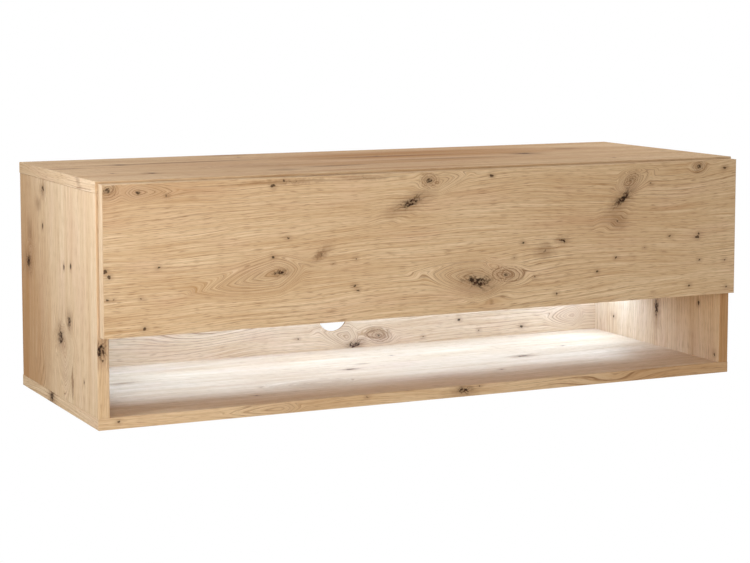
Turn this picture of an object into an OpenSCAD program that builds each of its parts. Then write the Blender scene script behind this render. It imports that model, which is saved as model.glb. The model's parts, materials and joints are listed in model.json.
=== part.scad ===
// Wall-hung media cabinet: a closed compartment behind one lift-up flap, over an open niche.
// X runs to the right, the front faces -Y, the wall is the plane y = 0, and z = 0 is at mid-height.

/* [Carcase] */
// Width of the carcase
cabinet_w = 1000; // [700:10:1200]
// Height of the carcase
cabinet_h = 330; // [315:5:420]
// Depth of the carcase, from the wall to its front edges
carcase_d = 360; // [320:5:450]
// Thickness of the boards
board_t = 16; // [16:1:19]
// Thickness of the edge bands
band_t = 1; // [0.8:0.1:1.5]
// Clear height of the open niche
niche_h = 109; // [95:1:120]
// Thickness of the back panel
back_t = 3; // [2.5:0.5:4]
// Distance of the back panel's ends inside the carcase ends
back_inset = 1.5; // [1:0.5:3]
// Diameter of the cable hole
cable_hole_d = 50; // [40:1:60]

/* [Flap] */
// Gap between the flap and the carcase's front edges
flap_gap = 2; // [2:0.1:3]
// Distance of the flap's top edge below the cabinet's top
flap_top_inset = 3; // [2.5:0.5:5]
// Distance of the flap's ends inside the carcase ends
flap_side_inset = 3; // [2:0.5:5]
// How far the flap hangs below the shelf's underside
flap_drop = 0.5; // [0:0.5:2]
// Diameter of the flap bumpers
bumper_d = 8; // [6:0.5:10]
// Distance of the inner bumpers from the middle of the shelf
bumper_x = 160; // [100:5:250]

/* [Hinges] */
// Distance of each hinge from the carcase end
hinge_inset = 120; // [90:5:160]
// Diameter of the hinge cup
cup_d = 35; // [35:0.5:36]
// Depth of the hinge cup in the flap
cup_depth = 13; // [12.8:0.1:13.4]
// Wall of the hinge cup
cup_wall = 0.8; // [0.6:0.1:0.9]
// Distance from the cup's rim to the flap's top edge
cup_edge = 5; // [4.8:0.1:5.2]
// Thickness of the cup's flange
flange_t = 1.2; // [0.8:0.1:1.3]
// Width of the cup's flange around the cup
flange_rim = 1.5; // [1:0.1:1.8]
// Distance between the two cup screws
cup_screw_pitch = 48; // [46:1:52]
// Distance of the cup screws below the cup's centre
cup_screw_drop = 6; // [5:0.5:8]
// Depth of the flap's turning axis behind its inner face
axis_in = 14; // [13.5:0.1:14.5]
// Distance of the flap's turning axis below its top edge
axis_down = 6.8; // [6.6:0.1:7]
// Depth of the link's pin in the cup
link_pin_in = 4; // [3.5:0.1:4.5]
// Distance of the link's pin below the flap's top edge
link_pin_down = 34; // [33.5:0.1:34]
// Length of the link between its eyes
link_len = 22; // [21.5:0.1:22.2]
// Width of the link
link_w = 8; // [6:0.5:9]
// Thickness of the link's bar
link_bar_t = 2; // [1.6:0.1:2.2]
// Diameter of the link's pin
link_pin_d = 3; // [2.6:0.1:3.2]
// Thickness of the hinge arm's steel
arm_sheet = 1.5; // [1.2:0.1:1.8]
// Height of the hinge arm's channel
arm_h = 10; // [9:0.5:11]
// Distance from the top panel to the hinge arm
arm_gap = 10; // [9.5:0.5:11]
// Length of the hinge arm behind the carcase's front
arm_len = 72; // [66:1:90]
// Distance of the plate's screw row from the carcase's front
plate_row = 37; // [34:1:40]
// Width of the hinge plate
plate_w = 46; // [42:1:54]
// Depth of the hinge plate
plate_d = 20; // [16:1:24]
// Distance between the two screws of the hinge plate
plate_pitch = 32; // [30:1:34]

/* [Stays] */
// Distance of the stay's post behind the flap's turning axis
stay_back = 60; // [52:1:75]
// Distance of the stay's post below the flap's turning axis
stay_drop = 60; // [50:1:62]
// Distance of the flap bracket's eye behind the flap
eye_out = 11; // [10:0.5:14]
// Distance of the flap bracket's eye below the turning axis
eye_down = 81; // [70:1:84]
// Thickness of the stay's steel bars
stay_t = 2; // [1.5:0.1:2.5]
// Width of the stay's bars
stay_bar_w = 10; // [8:0.5:12]
// Diameter of the stay's post
post_d = 8; // [6:0.5:9]
// Diameter of the stay's rivet and of the flap bracket's pin
rivet_d = 6; // [5:0.5:6.5]
// Diameter of the brake knob
knob_d = 24; // [20:1:28]
// Thickness of the brake knob
knob_t = 7; // [5:0.5:9]
// Height of the boss that the stay's arm turns on
boss_h = 6; // [5:0.5:8]

/* [Hangers and wall plates] */
// Height of the hanger's casing
hanger_h = 60; // [55:1:65]
// Depth of the hanger's casing
hanger_d = 40; // [36:1:44]
// Thickness of the hanger's casing
hanger_w = 14; // [12:1:16]
// Thickness of the hook and the wall plate
hook_t = 2; // [1.5:0.1:2.2]
// Distance of the hook's seat below the top panel
seat_drop = 24; // [22:1:28]
// Width of the wall plate
wall_plate_w = 56; // [52:1:60]
// Height of the wall plate
wall_plate_h = 42; // [38:1:46]
// Distance between the wall plate's two screw holes
wall_pitch = 28; // [24:1:32]
// Diameter of the wall plate's screw holes
wall_hole_d = 6.5; // [5:0.5:8]
// Distance of the two screw holes off the wall plate's middle, away from the side panel
wall_hole_shift = 5; // [4:0.5:7]

/* [Joints of the boards] */
// Diameter of the dowels
dowel_d = 8; // [6:1:8]
// Length of the dowels
dowel_l = 30; // [28:1:35]
// Diameter of the cam locks
cam_d = 15; // [14:0.5:16]
// Depth of the cam locks
cam_t = 12; // [11.5:0.5:13]
// Distance of the cam's centre from the board's end
cam_reach = 24; // [22:1:28]
// Length of the back panel's pins
pin_l = 20; // [16:1:25]

/* [Light] */
// Distance of the light from the wall
led_back = 60; // [40:5:120]
// Width of the aluminium profile
led_w = 17; // [16:0.5:20]
// Height of the aluminium profile
led_h = 8; // [7:0.5:9]
// Wall of the aluminium profile
led_wall = 1.2; // [1:0.1:1.5]
// Distance between the light's ends and the side panels
led_end_gap = 44; // [20:2:80]

/* [Fits] */
// Radial clearance of a pin that a part turns on
run_fit = 0.05; // [0.03:0.01:0.08]
// Radial clearance of a fixing in its bore
seat_fit = 0.05; // [0.02:0.01:0.1]
// Gap between faces that move past each other
slide_gap = 0.3; // [0.3:0.05:0.4]

/* [Hidden] */
$fn = 48;

// Colours as the photo shows them, and plain ones for the hidden fittings
OAK = "#cba97e";
OAK_EDGE = "#d9ba90";
STEEL = "#b9bcc0";
ZINC = "#9fa3a6";
DARK_STEEL = "#6d7074";
BEECH = "#d8b98c";
GREY_PLASTIC = "#8d9093";
ALUMINIUM = "#c9cbce";
OPAL = "#f6f3ec";

// Planes of the carcase
half_w = cabinet_w / 2;
half_h = cabinet_h / 2;
in_x = half_w - board_t;
front_y = -carcase_d;
under_top_z = half_h - board_t;
floor_z = -half_h + board_t;
shelf_under_z = floor_z + niche_h;
shelf_top_z = shelf_under_z + board_t;
shelf_mid_z = shelf_under_z + board_t / 2;
side_mid_x = half_w - board_t / 2;

// Planes of the flap
flap_back_y = front_y - flap_gap;
flap_front_y = flap_back_y - board_t;
flap_top_z = half_h - flap_top_inset;
flap_low_z = shelf_under_z - flap_drop;
flap_half_w = half_w - flap_side_inset;

// The flap's turning axis
axis_y = flap_back_y - axis_in;
axis_z = flap_top_z - axis_down;

// Hinge places, for the left hinge
hinge_x = -(half_w - hinge_inset);
cup_r = cup_d / 2;
cup_z = flap_top_z - cup_edge - cup_r;
link_pin_y = flap_back_y - link_pin_in;
link_pin_z = flap_top_z - link_pin_down;
// Direction in which the link points from its pin while the flap is shut
link_rest_a = 92;
link_end = [link_pin_y + link_len * cos(link_rest_a), link_pin_z + link_len * sin(link_rest_a)];
link_eye_r = 2.2;
link_root_r = 2.6;
cheek_in = link_w / 2 + slide_gap;
cheek_out = cheek_in + arm_sheet;
cheek_tip_r = 3;
arm_top_z = under_top_z - arm_gap;
arm_low_z = arm_top_z - arm_h;
arm_neck = 10;
plate_t = 2;
plate_block_d = 40;
plate_block_shift = 3;
cup_screw_d = 3.5;
cup_screw_l = 11;
cup_head_d = 7;
cup_ear_r = 6.5;
stub_d = 2.4;
cup_screw_x = cup_screw_pitch / 2;
plate_screw_d = 5;
plate_screw_l = 12;
plate_head_d = 9;
adjust_ahead = 9;
adjust_behind = 14;
adjust_ys = [front_y + plate_row - adjust_ahead, front_y + plate_row + adjust_behind];
adjust_screw_d = 4;
adjust_screw_l = 5;
adjust_head_d = 6.5;
screw_head_t = 1;

// Stay places in the yz plane
post = [axis_y + stay_back, axis_z - stay_drop];
eye = [flap_back_y + eye_out, axis_z - eye_down];
elbow = eye + [stay_back, -stay_drop];
eye_wall = 3;
eye_r = rivet_d / 2 + eye_wall;
post_eye_wall = 4;
post_eye_r = post_d / 2 + post_eye_wall;
// Depths of the stay's layers, counted from the side panel's inner face
base_t = 2;
arm_lay = base_t + boss_h + slide_gap;
link_lay = arm_lay + stay_t + slide_gap;
ear_lay = link_lay + stay_t + slide_gap;
knob_lay = arm_lay + stay_t + slide_gap;
boss_wall = 7;
boss_r = post_d / 2 + boss_wall;
base_front = 14;
base_rear = 34;
base_half_h = 16;
base_screw_back = 24;
base_screw_y = post[0] + base_screw_back;
base_screw_z = 9;
small_screw_d = 4;
small_screw_l = 12;
small_head_d = 7.5;
bracket_w = 22;
bracket_t = 2;
bracket_half_h = 16;
bracket_screw_z = 9;
bracket_screw_x = 14;
rivet_head_rim = 2;
rivet_head_r = rivet_d / 2 + rivet_head_rim;
rivet_head_t = 1.2;
knob_notches = 10;
knob_notch_r = 2;
knob_top_t = 2;
knob_notch_z = 1.8;
post_in_knob = knob_t - knob_top_t;

// Hanger places, for the left side
hanger_gap = 2;
hanger_top_z = under_top_z - hanger_gap;
hanger_low_z = hanger_top_z - hanger_h;
lip_gap = 3;
lip_front_y = -(lip_gap + hook_t);
casing_gap = 3;
hanger_rear_y = lip_front_y - casing_gap;
hook_x = 7;
hook_h = 12;
hook_tail = 28;
hook_finger = 9;
hook_chamfer = 2;
seat_z = under_top_z - seat_drop;
peg_d = 10;
peg_l = 11;
peg_y = hanger_rear_y - hanger_d / 2;
peg_margin = 12;
peg_zs = [hanger_low_z + peg_margin, hanger_top_z - peg_margin];
hanger_screw_d = 5;
hanger_screw_l = 14;
hanger_head_d = 8;
hanger_screw_up = 14;
hanger_screw_down = 30;
hanger_screw_zs = [hanger_low_z + hanger_screw_up, hanger_top_z - hanger_screw_down];
plate_side_gap = 2;
wall_plate_x = -(in_x - plate_side_gap - wall_plate_w / 2);
lip_h = 12;
wall_hole_up = 13;
wall_plate_low_z = seat_z - wall_plate_h;
wall_hole_z = wall_plate_low_z + wall_hole_up;
window_margin = 3;

// Joints of the boards
joint_front = 60;
joint_back = 110;
dowel_ys = [front_y + joint_front, -joint_back];
cam_front = 100;
cam_back = 70;
cam_ys = [front_y + cam_front, -cam_back];
confirmat_front = 35;
confirmat_back = 40;
confirmat_ys = [front_y + confirmat_front, -confirmat_back];
dowel_in_face = 12;
dowel_in_edge = dowel_l - dowel_in_face;
bore_end = 0.5;
bolt_d = 6;
bolt_in_face = 10;
bolt_neck_d = 4;
bolt_head_d = 7;
bolt_head_t = 3;
bolt_bore_d = 8;
bolt_collar_l = 4;
cam_slot_w = 1.6;
cam_slot_l = 9;
cam_slot_deep = 2;
confirmat_d = 7;
confirmat_l = 50;
confirmat_head_d = 10;
confirmat_head_t = 3;
pin_d = 1.8;
pin_head_d = 3.6;
pin_head_t = 0.8;
pin_margin = 25;
pin_shelf_margin = 90;
pin_count = 5;
pin_side_zs = spread(floor_z + pin_margin, under_top_z - pin_margin, pin_count);
pin_shelf_xs = spread(-in_x + pin_shelf_margin, in_x - pin_shelf_margin, pin_count);

// Light
led_y = -led_back;
led_half_l = in_x - led_end_gap;
led_cap_t = 2;
tape_w = 10;
tape_t = 1.4;
diffuser_t = 1;

// Evenly spaced values from low to high
function spread(low, high, count) = [for (k = [0:count - 1]) low + (high - low) * k / (count - 1)];

module slab(low, high) {
    translate(low) cube(high - low);
}

// A piece drawn on the left side, mirrored for the right side
module handed(side) {
    if (side < 0) children();
    else mirror([1, 0, 0]) children();
}

// A flat piece that is drawn in y and z, and is thick along x from x0
module yz_plate(x0, thick) {
    translate([x0, 0, 0]) rotate([90, 0, 90]) linear_extrude(thick) children();
}

module rod_x(p, d, l) {
    translate(p) rotate([0, 90, 0]) cylinder(d = d, h = l);
}

module rod_y(p, d, l) {
    translate(p) rotate([-90, 0, 0]) cylinder(d = d, h = l);
}

module rod_z(p, d, l) {
    translate(p) cylinder(d = d, h = l);
}

// A bar with two round eyes, in two dimensions
module eye_bar(a, b, ra, rb, w) {
    along = b - a;
    translate(a) circle(r = ra);
    translate(b) circle(r = rb);
    translate(a) rotate(atan2(along[1], along[0])) translate([0, -w / 2]) square([norm(along), w]);
}

// A screw along z with its head above z = 0
module screw(d, l, head_d, head_t = screw_head_t) {
    slot_w = head_d * 0.14;
    slot_l = head_d * 0.6;
    difference() {
        union() {
            translate([0, 0, -l]) cylinder(d = d, h = l);
            cylinder(d = head_d, h = head_t);
        }
        for (turn = [0, 90])
            rotate(turn) translate([-slot_l / 2, -slot_w / 2, head_t * 0.4]) cube([slot_l, slot_w, head_t]);
    }
}

// A straight strip of edge band, rounded at its two outer corners: long along x, outer face at -y
module band(l, w) {
    r = band_t;
    intersection() {
        translate([0, -band_t, 0]) cube([l, band_t, w]);
        union() {
            translate([0, -band_t, r]) cube([l, band_t, w - 2 * r]);
            for (z = [r, w - r]) rod_x([0, 0, z], 2 * r, l);
        }
    }
}

// Bores for dowels and screws are cut a little past the board's face
past = 0.5;

module dowel_bore_x(x_face, y, z, into_edge) {
    deep = (into_edge ? dowel_in_edge : dowel_in_face) + bore_end;
    d = dowel_d + 2 * seat_fit;
    if (into_edge) rod_x([x_face - past, y, z], d, deep + past);
    else rod_x([x_face - deep, y, z], d, deep + past);
}

// Top and bottom panels
module cap_board(z_low) {
    slab([-half_w + band_t, front_y + band_t, z_low], [half_w - band_t, 0, z_low + board_t]);
}

module cap_bands(z_low) {
    translate([-half_w + band_t, front_y + band_t, z_low]) band(cabinet_w - 2 * band_t, board_t);
    for (side = [-1, 1])
        handed(side)
            translate([-half_w + band_t, 0, z_low]) rotate(-90) band(carcase_d, board_t);
}

module top_panel() {
    color(OAK) difference() {
        cap_board(under_top_z);
        for (side = [-1, 1]) {
            for (y = dowel_ys)
                rod_z([side * side_mid_x, y, under_top_z - past], dowel_d + 2 * seat_fit,
                    dowel_in_face + bore_end + past);
            for (y = cam_ys)
                rod_z([side * side_mid_x, y, under_top_z - past], bolt_d + 2 * seat_fit,
                    bolt_in_face + bore_end + past);
            for (dx = [-1, 1])
                rod_z([side * hinge_x + dx * plate_pitch / 2, front_y + plate_row, under_top_z - past],
                    plate_screw_d + 2 * seat_fit, plate_screw_l - plate_t + bore_end + past);
        }
    }
}

module top_edge_bands() {
    color(OAK_EDGE) cap_bands(under_top_z);
}

module bottom_panel() {
    color(OAK) difference() {
        cap_board(-half_h);
        for (side = [-1, 1]) {
            for (y = dowel_ys)
                rod_z([side * side_mid_x, y, floor_z - dowel_in_face - bore_end], dowel_d + 2 * seat_fit,
                    dowel_in_face + bore_end + past);
            for (y = confirmat_ys) {
                rod_z([side * side_mid_x, y, -half_h - past], confirmat_d + 2 * seat_fit,
                    board_t + 2 * past);
                rod_z([side * side_mid_x, y, -half_h - past], confirmat_head_d + 2 * seat_fit,
                    confirmat_head_t + bore_end + past);
            }
        }
    }
}

module bottom_edge_bands() {
    color(OAK_EDGE) cap_bands(-half_h);
}

module side_panel(side) {
    color(OAK) handed(side) difference() {
        slab([-half_w, front_y + band_t, floor_z], [-in_x, -back_t, under_top_z]);
        for (y = dowel_ys) {
            rod_z([-side_mid_x, y, under_top_z - dowel_in_edge - bore_end], dowel_d + 2 * seat_fit,
                dowel_in_edge + bore_end + past);
            rod_z([-side_mid_x, y, floor_z - past], dowel_d + 2 * seat_fit,
                dowel_in_edge + bore_end + past);
            dowel_bore_x(-in_x, y, shelf_mid_z, false);
        }
        for (y = cam_ys) {
            rod_z([-side_mid_x, y, under_top_z - cam_reach], bolt_bore_d, cam_reach + past);
            rod_x([-in_x - cam_t - bore_end, y, under_top_z - cam_reach], cam_d + 2 * seat_fit,
                cam_t + bore_end + past);
            rod_x([-in_x - bolt_in_face - bore_end, y, shelf_mid_z], bolt_d + 2 * seat_fit,
                bolt_in_face + bore_end + past);
        }
        for (y = confirmat_ys)
            rod_z([-side_mid_x, y, floor_z - past], confirmat_d + 2 * seat_fit,
                confirmat_l - board_t + bore_end + past);
        for (z = peg_zs)
            rod_x([-in_x - peg_l - bore_end, peg_y, z], peg_d + 2 * seat_fit, peg_l + bore_end + past);
        for (dz = [-1, 1])
            rod_x([-in_x - small_screw_l, base_screw_y, post[1] + dz * base_screw_z],
                small_screw_d + 2 * seat_fit, small_screw_l + past);
        for (z = pin_side_zs)
            rod_y([-side_mid_x, -pin_l - bore_end, z], pin_d + 2 * seat_fit, pin_l + past);
    }
}

module side_edge_band(side) {
    color(OAK_EDGE) handed(side)
        translate([-half_w, front_y + band_t, floor_z])
            rotate([0, -90, 0]) mirror([0, 0, 1]) band(under_top_z - floor_z, board_t);
}

module middle_shelf() {
    color(OAK) difference() {
        slab([-in_x, front_y + band_t, shelf_under_z], [in_x, -back_t, shelf_top_z]);
        for (side = [-1, 1]) handed(side) {
            for (y = dowel_ys) dowel_bore_x(-in_x, y, shelf_mid_z, true);
            for (y = cam_ys) {
                rod_x([-in_x - past, y, shelf_mid_z], bolt_bore_d, cam_reach + past);
                rod_z([-in_x + cam_reach, y, shelf_top_z - cam_t - bore_end], cam_d + 2 * seat_fit,
                    cam_t + bore_end + past);
            }
        }
        for (x = pin_shelf_xs)
            rod_y([x, -pin_l - bore_end, shelf_mid_z], pin_d + 2 * seat_fit, pin_l + past);
    }
}

module shelf_edge_band() {
    color(OAK_EDGE) translate([-in_x, front_y + band_t, shelf_under_z]) band(2 * in_x, board_t);
}

// Places of the pins that hold the back panel, as [x, z]
pin_places = concat(
    [for (side = [-1, 1], z = pin_side_zs) [side * side_mid_x, z]],
    [for (x = pin_shelf_xs) [x, shelf_mid_z]]
);

module back_panel() {
    window_low_z = wall_plate_low_z - window_margin;
    window_w = plate_side_gap + wall_plate_w + window_margin;
    color(OAK) difference() {
        slab([-half_w + back_inset, -back_t, floor_z], [half_w - back_inset, 0, under_top_z]);
        rod_y([0, -back_t - past, floor_z + niche_h / 2], cable_hole_d, back_t + 2 * past);
        for (side = [-1, 1]) handed(side)
            slab([-in_x, -back_t - past, window_low_z], [-in_x + window_w, past, under_top_z + past]);
        for (p = pin_places) {
            rod_y([p[0], -back_t - past, p[1]], pin_d + 2 * seat_fit, back_t + 2 * past);
            rod_y([p[0], -pin_head_t, p[1]], pin_head_d + 2 * seat_fit, pin_head_t + past);
        }
    }
}

module flap_panel() {
    color(OAK) difference() {
        slab([-flap_half_w + band_t, flap_front_y, flap_low_z + band_t],
            [flap_half_w - band_t, flap_back_y, flap_top_z - band_t]);
        for (side = [-1, 1]) handed(side) {
            rod_y([hinge_x, flap_back_y - cup_depth - seat_fit, cup_z], cup_d + 2 * seat_fit,
                cup_depth + seat_fit + past);
            for (dx = [-1, 1])
                rod_y([hinge_x + dx * cup_screw_x, flap_back_y - cup_screw_l, cup_z - cup_screw_drop],
                    cup_screw_d + 2 * seat_fit, cup_screw_l + past);
            for (dz = [-1, 1])
                rod_y([-in_x + ear_lay + bracket_screw_x, flap_back_y - small_screw_l,
                    eye[1] + dz * bracket_screw_z], small_screw_d + 2 * seat_fit, small_screw_l + past);
        }
    }
}

// The bands lie round the flap, and the long ones run over the ends of the short ones
module flap_edge_bands() {
    color(OAK_EDGE) {
        translate([-flap_half_w, flap_back_y, flap_low_z + band_t])
            rotate([90, 0, 0]) band(2 * flap_half_w, board_t);
        translate([-flap_half_w, flap_front_y, flap_top_z - band_t])
            rotate([-90, 0, 0]) band(2 * flap_half_w, board_t);
        for (side = [-1, 1]) handed(side)
            translate([-flap_half_w + band_t, flap_front_y, flap_low_z + band_t])
                rotate([0, -90, -90]) band(flap_top_z - flap_low_z - 2 * band_t, board_t);
    }
}

module flap_bumpers() {
    color(OPAL) for (x = [-side_mid_x, -bumper_x, bumper_x, side_mid_x])
        rod_y([x, front_y - flap_gap + slide_gap, shelf_mid_z], bumper_d, flap_gap - slide_gap);
}

// Hinge pieces
module hinge_plate(side) {
    row_y = front_y + plate_row;
    block_half_w = cheek_in - seat_fit;
    block_y = row_y + plate_block_shift;
    color(STEEL) handed(side) difference() {
        union() {
            slab([hinge_x - plate_w / 2, row_y - plate_d / 2, under_top_z - plate_t],
                [hinge_x + plate_w / 2, row_y + plate_d / 2, under_top_z]);
            slab([hinge_x - block_half_w, block_y - plate_block_d / 2, arm_low_z + arm_sheet],
                [hinge_x + block_half_w, block_y + plate_block_d / 2, under_top_z - plate_t]);
        }
        for (dx = [-1, 1])
            rod_z([hinge_x + dx * plate_pitch / 2, row_y, under_top_z - plate_t - past],
                plate_screw_d + 2 * seat_fit, plate_t + 2 * past);
        for (y = adjust_ys)
            rod_z([hinge_x, y, arm_low_z], adjust_screw_d + 2 * seat_fit, adjust_screw_l + bore_end);
    }
}

module hinge_arm(side) {
    color(STEEL) handed(side) difference() {
        union() {
            for (x = [hinge_x - cheek_out, hinge_x + cheek_in]) yz_plate(x, arm_sheet) {
                translate([link_pin_y, link_pin_z]) circle(r = cheek_tip_r);
                polygon([
                    [link_pin_y, link_pin_z - cheek_tip_r],
                    [front_y + arm_neck, arm_low_z],
                    [front_y + arm_len, arm_low_z],
                    [front_y + arm_len, arm_top_z],
                    [front_y + arm_neck / 2, arm_top_z],
                    [link_pin_y, link_pin_z + cheek_tip_r]
                ]);
            }
            slab([hinge_x - cheek_out, front_y + arm_neck, arm_low_z],
                [hinge_x + cheek_out, front_y + arm_len, arm_low_z + arm_sheet]);
        }
        rod_x([hinge_x - cheek_out - past, link_pin_y, link_pin_z], link_pin_d + 2 * seat_fit,
            2 * (cheek_out + past));
        for (y = adjust_ys)
            rod_z([hinge_x, y, arm_low_z - past], adjust_screw_d + 2 * seat_fit, arm_sheet + 2 * past);
    }
}

module hinge_pin(side) {
    color(ZINC) handed(side)
        rod_x([hinge_x - cheek_out, link_pin_y, link_pin_z], link_pin_d, 2 * cheek_out);
}

// The link's outer eye stands between the cup's two pin stubs
module hinge_link(side) {
    pin_at = [link_pin_y, link_pin_z];
    color(ZINC) handed(side) yz_plate(hinge_x - link_w / 2, link_w) difference() {
        eye_bar(pin_at, link_end, link_root_r, link_eye_r, link_bar_t);
        translate(pin_at) circle(r = link_pin_d / 2 + run_fit);
    }
}

module hinge_cup(side) {
    inner_r = cup_r - cup_wall;
    stub_z = link_end[1] - cup_z;
    stub_depth = flap_back_y - link_end[0];
    stub_reach = sqrt(inner_r * inner_r - stub_z * stub_z) + cup_wall / 2;
    color(STEEL) handed(side) translate([hinge_x, flap_back_y, cup_z]) rotate([90, 0, 0]) {
        difference() {
            union() {
                cylinder(r = cup_r, h = cup_depth);
                translate([0, 0, -flange_t]) linear_extrude(flange_t) {
                    circle(r = cup_r + flange_rim);
                    for (dx = [-1, 1]) translate([dx * cup_screw_x, -cup_screw_drop]) circle(r = cup_ear_r);
                    translate([-cup_screw_x, -cup_screw_drop - cup_ear_r])
                        square([cup_screw_pitch, 2 * cup_ear_r]);
                }
            }
            translate([0, 0, -flange_t - past])
                cylinder(r = inner_r, h = cup_depth - cup_wall + flange_t + past);
            for (dx = [-1, 1])
                translate([dx * cup_screw_x, -cup_screw_drop, -flange_t - past])
                    cylinder(d = cup_screw_d + 2 * seat_fit, h = flange_t + 2 * past);
        }
        for (dx = [-1, 1])
            translate([dx < 0 ? -stub_reach : cheek_in, stub_z, stub_depth])
                rotate([0, 90, 0]) cylinder(d = stub_d, h = stub_reach - cheek_in);
    }
}

module hinge_plate_screws() {
    color(ZINC) for (side = [-1, 1], dx = [-1, 1]) handed(side)
        translate([hinge_x + dx * plate_pitch / 2, front_y + plate_row, under_top_z - plate_t])
            rotate([180, 0, 0]) screw(plate_screw_d, plate_screw_l, plate_head_d);
}

module hinge_adjusting_screws() {
    color(ZINC) for (side = [-1, 1], y = adjust_ys) handed(side)
        translate([hinge_x, y, arm_low_z])
            rotate([180, 0, 0]) screw(adjust_screw_d, adjust_screw_l, adjust_head_d);
}

module hinge_cup_screws() {
    color(ZINC) for (side = [-1, 1], dx = [-1, 1]) handed(side)
        translate([hinge_x + dx * cup_screw_x, flap_back_y + flange_t, cup_z - cup_screw_drop])
            rotate([-90, 0, 0]) screw(cup_screw_d, cup_screw_l, cup_head_d);
}

// Stay pieces
module stay_base(side) {
    color(STEEL) handed(side) difference() {
        union() {
            slab([-in_x, post[0] - base_front, post[1] - base_half_h],
                [-in_x + base_t, post[0] + base_rear, post[1] + base_half_h]);
            rod_x([-in_x, post[0], post[1]], 2 * boss_r, base_t + boss_h);
            rod_x([-in_x, post[0], post[1]], post_d, knob_lay + post_in_knob);
        }
        for (dz = [-1, 1])
            rod_x([-in_x - past, base_screw_y, post[1] + dz * base_screw_z], small_screw_d + 2 * seat_fit,
                base_t + 2 * past);
    }
}

module stay_knob(side) {
    color(GREY_PLASTIC) handed(side) translate([-in_x + knob_lay, post[0], post[1]]) rotate([0, 90, 0])
        difference() {
            cylinder(d = knob_d, h = knob_t);
            translate([0, 0, -past])
                cylinder(d = post_d + 2 * seat_fit, h = post_in_knob + bore_end + past);
            for (k = [0:knob_notches - 1]) rotate(k * 360 / knob_notches)
                translate([knob_d / 2 + knob_notch_r / 2, 0, knob_notch_z])
                    cylinder(r = knob_notch_r, h = knob_t);
        }
}

module stay_arm(side) {
    color(DARK_STEEL) handed(side) yz_plate(-in_x + arm_lay, stay_t) difference() {
        eye_bar(post, elbow, post_eye_r, eye_r, stay_bar_w);
        translate(post) circle(r = post_d / 2 + run_fit);
        translate(elbow) circle(r = rivet_d / 2 + seat_fit);
    }
}

module stay_rivet(side) {
    shaft_l = ear_lay - arm_lay;
    color(ZINC) handed(side) translate([-in_x + arm_lay, elbow[0], elbow[1]]) rotate([0, 90, 0]) {
        translate([0, 0, -rivet_head_t]) cylinder(r = rivet_head_r, h = rivet_head_t);
        cylinder(d = rivet_d, h = shaft_l);
        translate([0, 0, shaft_l]) cylinder(r = rivet_head_r, h = rivet_head_t);
    }
}

module stay_link(side) {
    color(DARK_STEEL) handed(side) yz_plate(-in_x + link_lay, stay_t) difference() {
        eye_bar(elbow, eye, eye_r, eye_r, stay_bar_w);
        for (p = [elbow, eye]) translate(p) circle(r = rivet_d / 2 + run_fit);
    }
}

module flap_bracket(side) {
    ear_x = -in_x + ear_lay;
    color(STEEL) handed(side) difference() {
        union() {
            slab([ear_x, flap_back_y, eye[1] - bracket_half_h],
                [ear_x + bracket_w, flap_back_y + bracket_t, eye[1] + bracket_half_h]);
            yz_plate(ear_x, stay_t) {
                translate(eye) circle(r = eye_r);
                polygon([
                    [flap_back_y, eye[1] - bracket_half_h],
                    [eye[0], eye[1] - eye_r],
                    [eye[0], eye[1] + eye_r],
                    [flap_back_y, eye[1] + bracket_half_h]
                ]);
            }
            rod_x([-in_x + link_lay - slide_gap, eye[0], eye[1]], rivet_d, stay_t + 2 * slide_gap + past);
            rod_x([-in_x + link_lay - slide_gap - rivet_head_t, eye[0], eye[1]], 2 * rivet_head_r,
                rivet_head_t);
        }
        for (dz = [-1, 1])
            rod_y([ear_x + bracket_screw_x, flap_back_y - past, eye[1] + dz * bracket_screw_z],
                small_screw_d + 2 * seat_fit, bracket_t + 2 * past);
    }
}

module stay_base_screws() {
    color(ZINC) for (side = [-1, 1], dz = [-1, 1]) handed(side)
        translate([-in_x + base_t, base_screw_y, post[1] + dz * base_screw_z])
            rotate([0, 90, 0]) screw(small_screw_d, small_screw_l, small_head_d);
}

module flap_bracket_screws() {
    color(ZINC) for (side = [-1, 1], dz = [-1, 1]) handed(side)
        translate([-in_x + ear_lay + bracket_screw_x, flap_back_y + bracket_t,
            eye[1] + dz * bracket_screw_z])
            rotate([-90, 0, 0]) screw(small_screw_d, small_screw_l, small_head_d);
}

// Hanger pieces
module hanger_casing(side) {
    front = hanger_rear_y - hanger_d;
    color(GREY_PLASTIC) handed(side) difference() {
        union() {
            slab([-in_x, front, hanger_low_z], [-in_x + hanger_w, hanger_rear_y, hanger_top_z]);
            for (z = peg_zs) rod_x([-in_x - peg_l, peg_y, z], peg_d, peg_l + past);
        }
        slab([-in_x + hook_x - seat_fit, hanger_rear_y - hook_tail - seat_fit, seat_z - seat_fit],
            [-in_x + hook_x + hook_t + seat_fit, hanger_rear_y + past, seat_z + hook_h + seat_fit]);
        for (z = hanger_screw_zs)
            rod_y([-in_x + hanger_w / 2, front - past, z], hanger_screw_d + 2 * seat_fit,
                hanger_screw_l + bore_end + past);
    }
}

// The hook's shank runs over the wall plate's lip and its finger drops behind it
module hanger_hook(side) {
    finger_y = -lip_gap + slide_gap;
    color(STEEL) handed(side) yz_plate(-in_x + hook_x, hook_t) {
        polygon([
            [hanger_rear_y - hook_tail, seat_z],
            [finger_y, seat_z],
            [finger_y, seat_z - hook_finger],
            [-slide_gap, seat_z - hook_finger],
            [-slide_gap, seat_z + hook_h - hook_chamfer],
            [-slide_gap - hook_chamfer, seat_z + hook_h],
            [hanger_rear_y - hook_tail, seat_z + hook_h]
        ]);
    }
}

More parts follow.
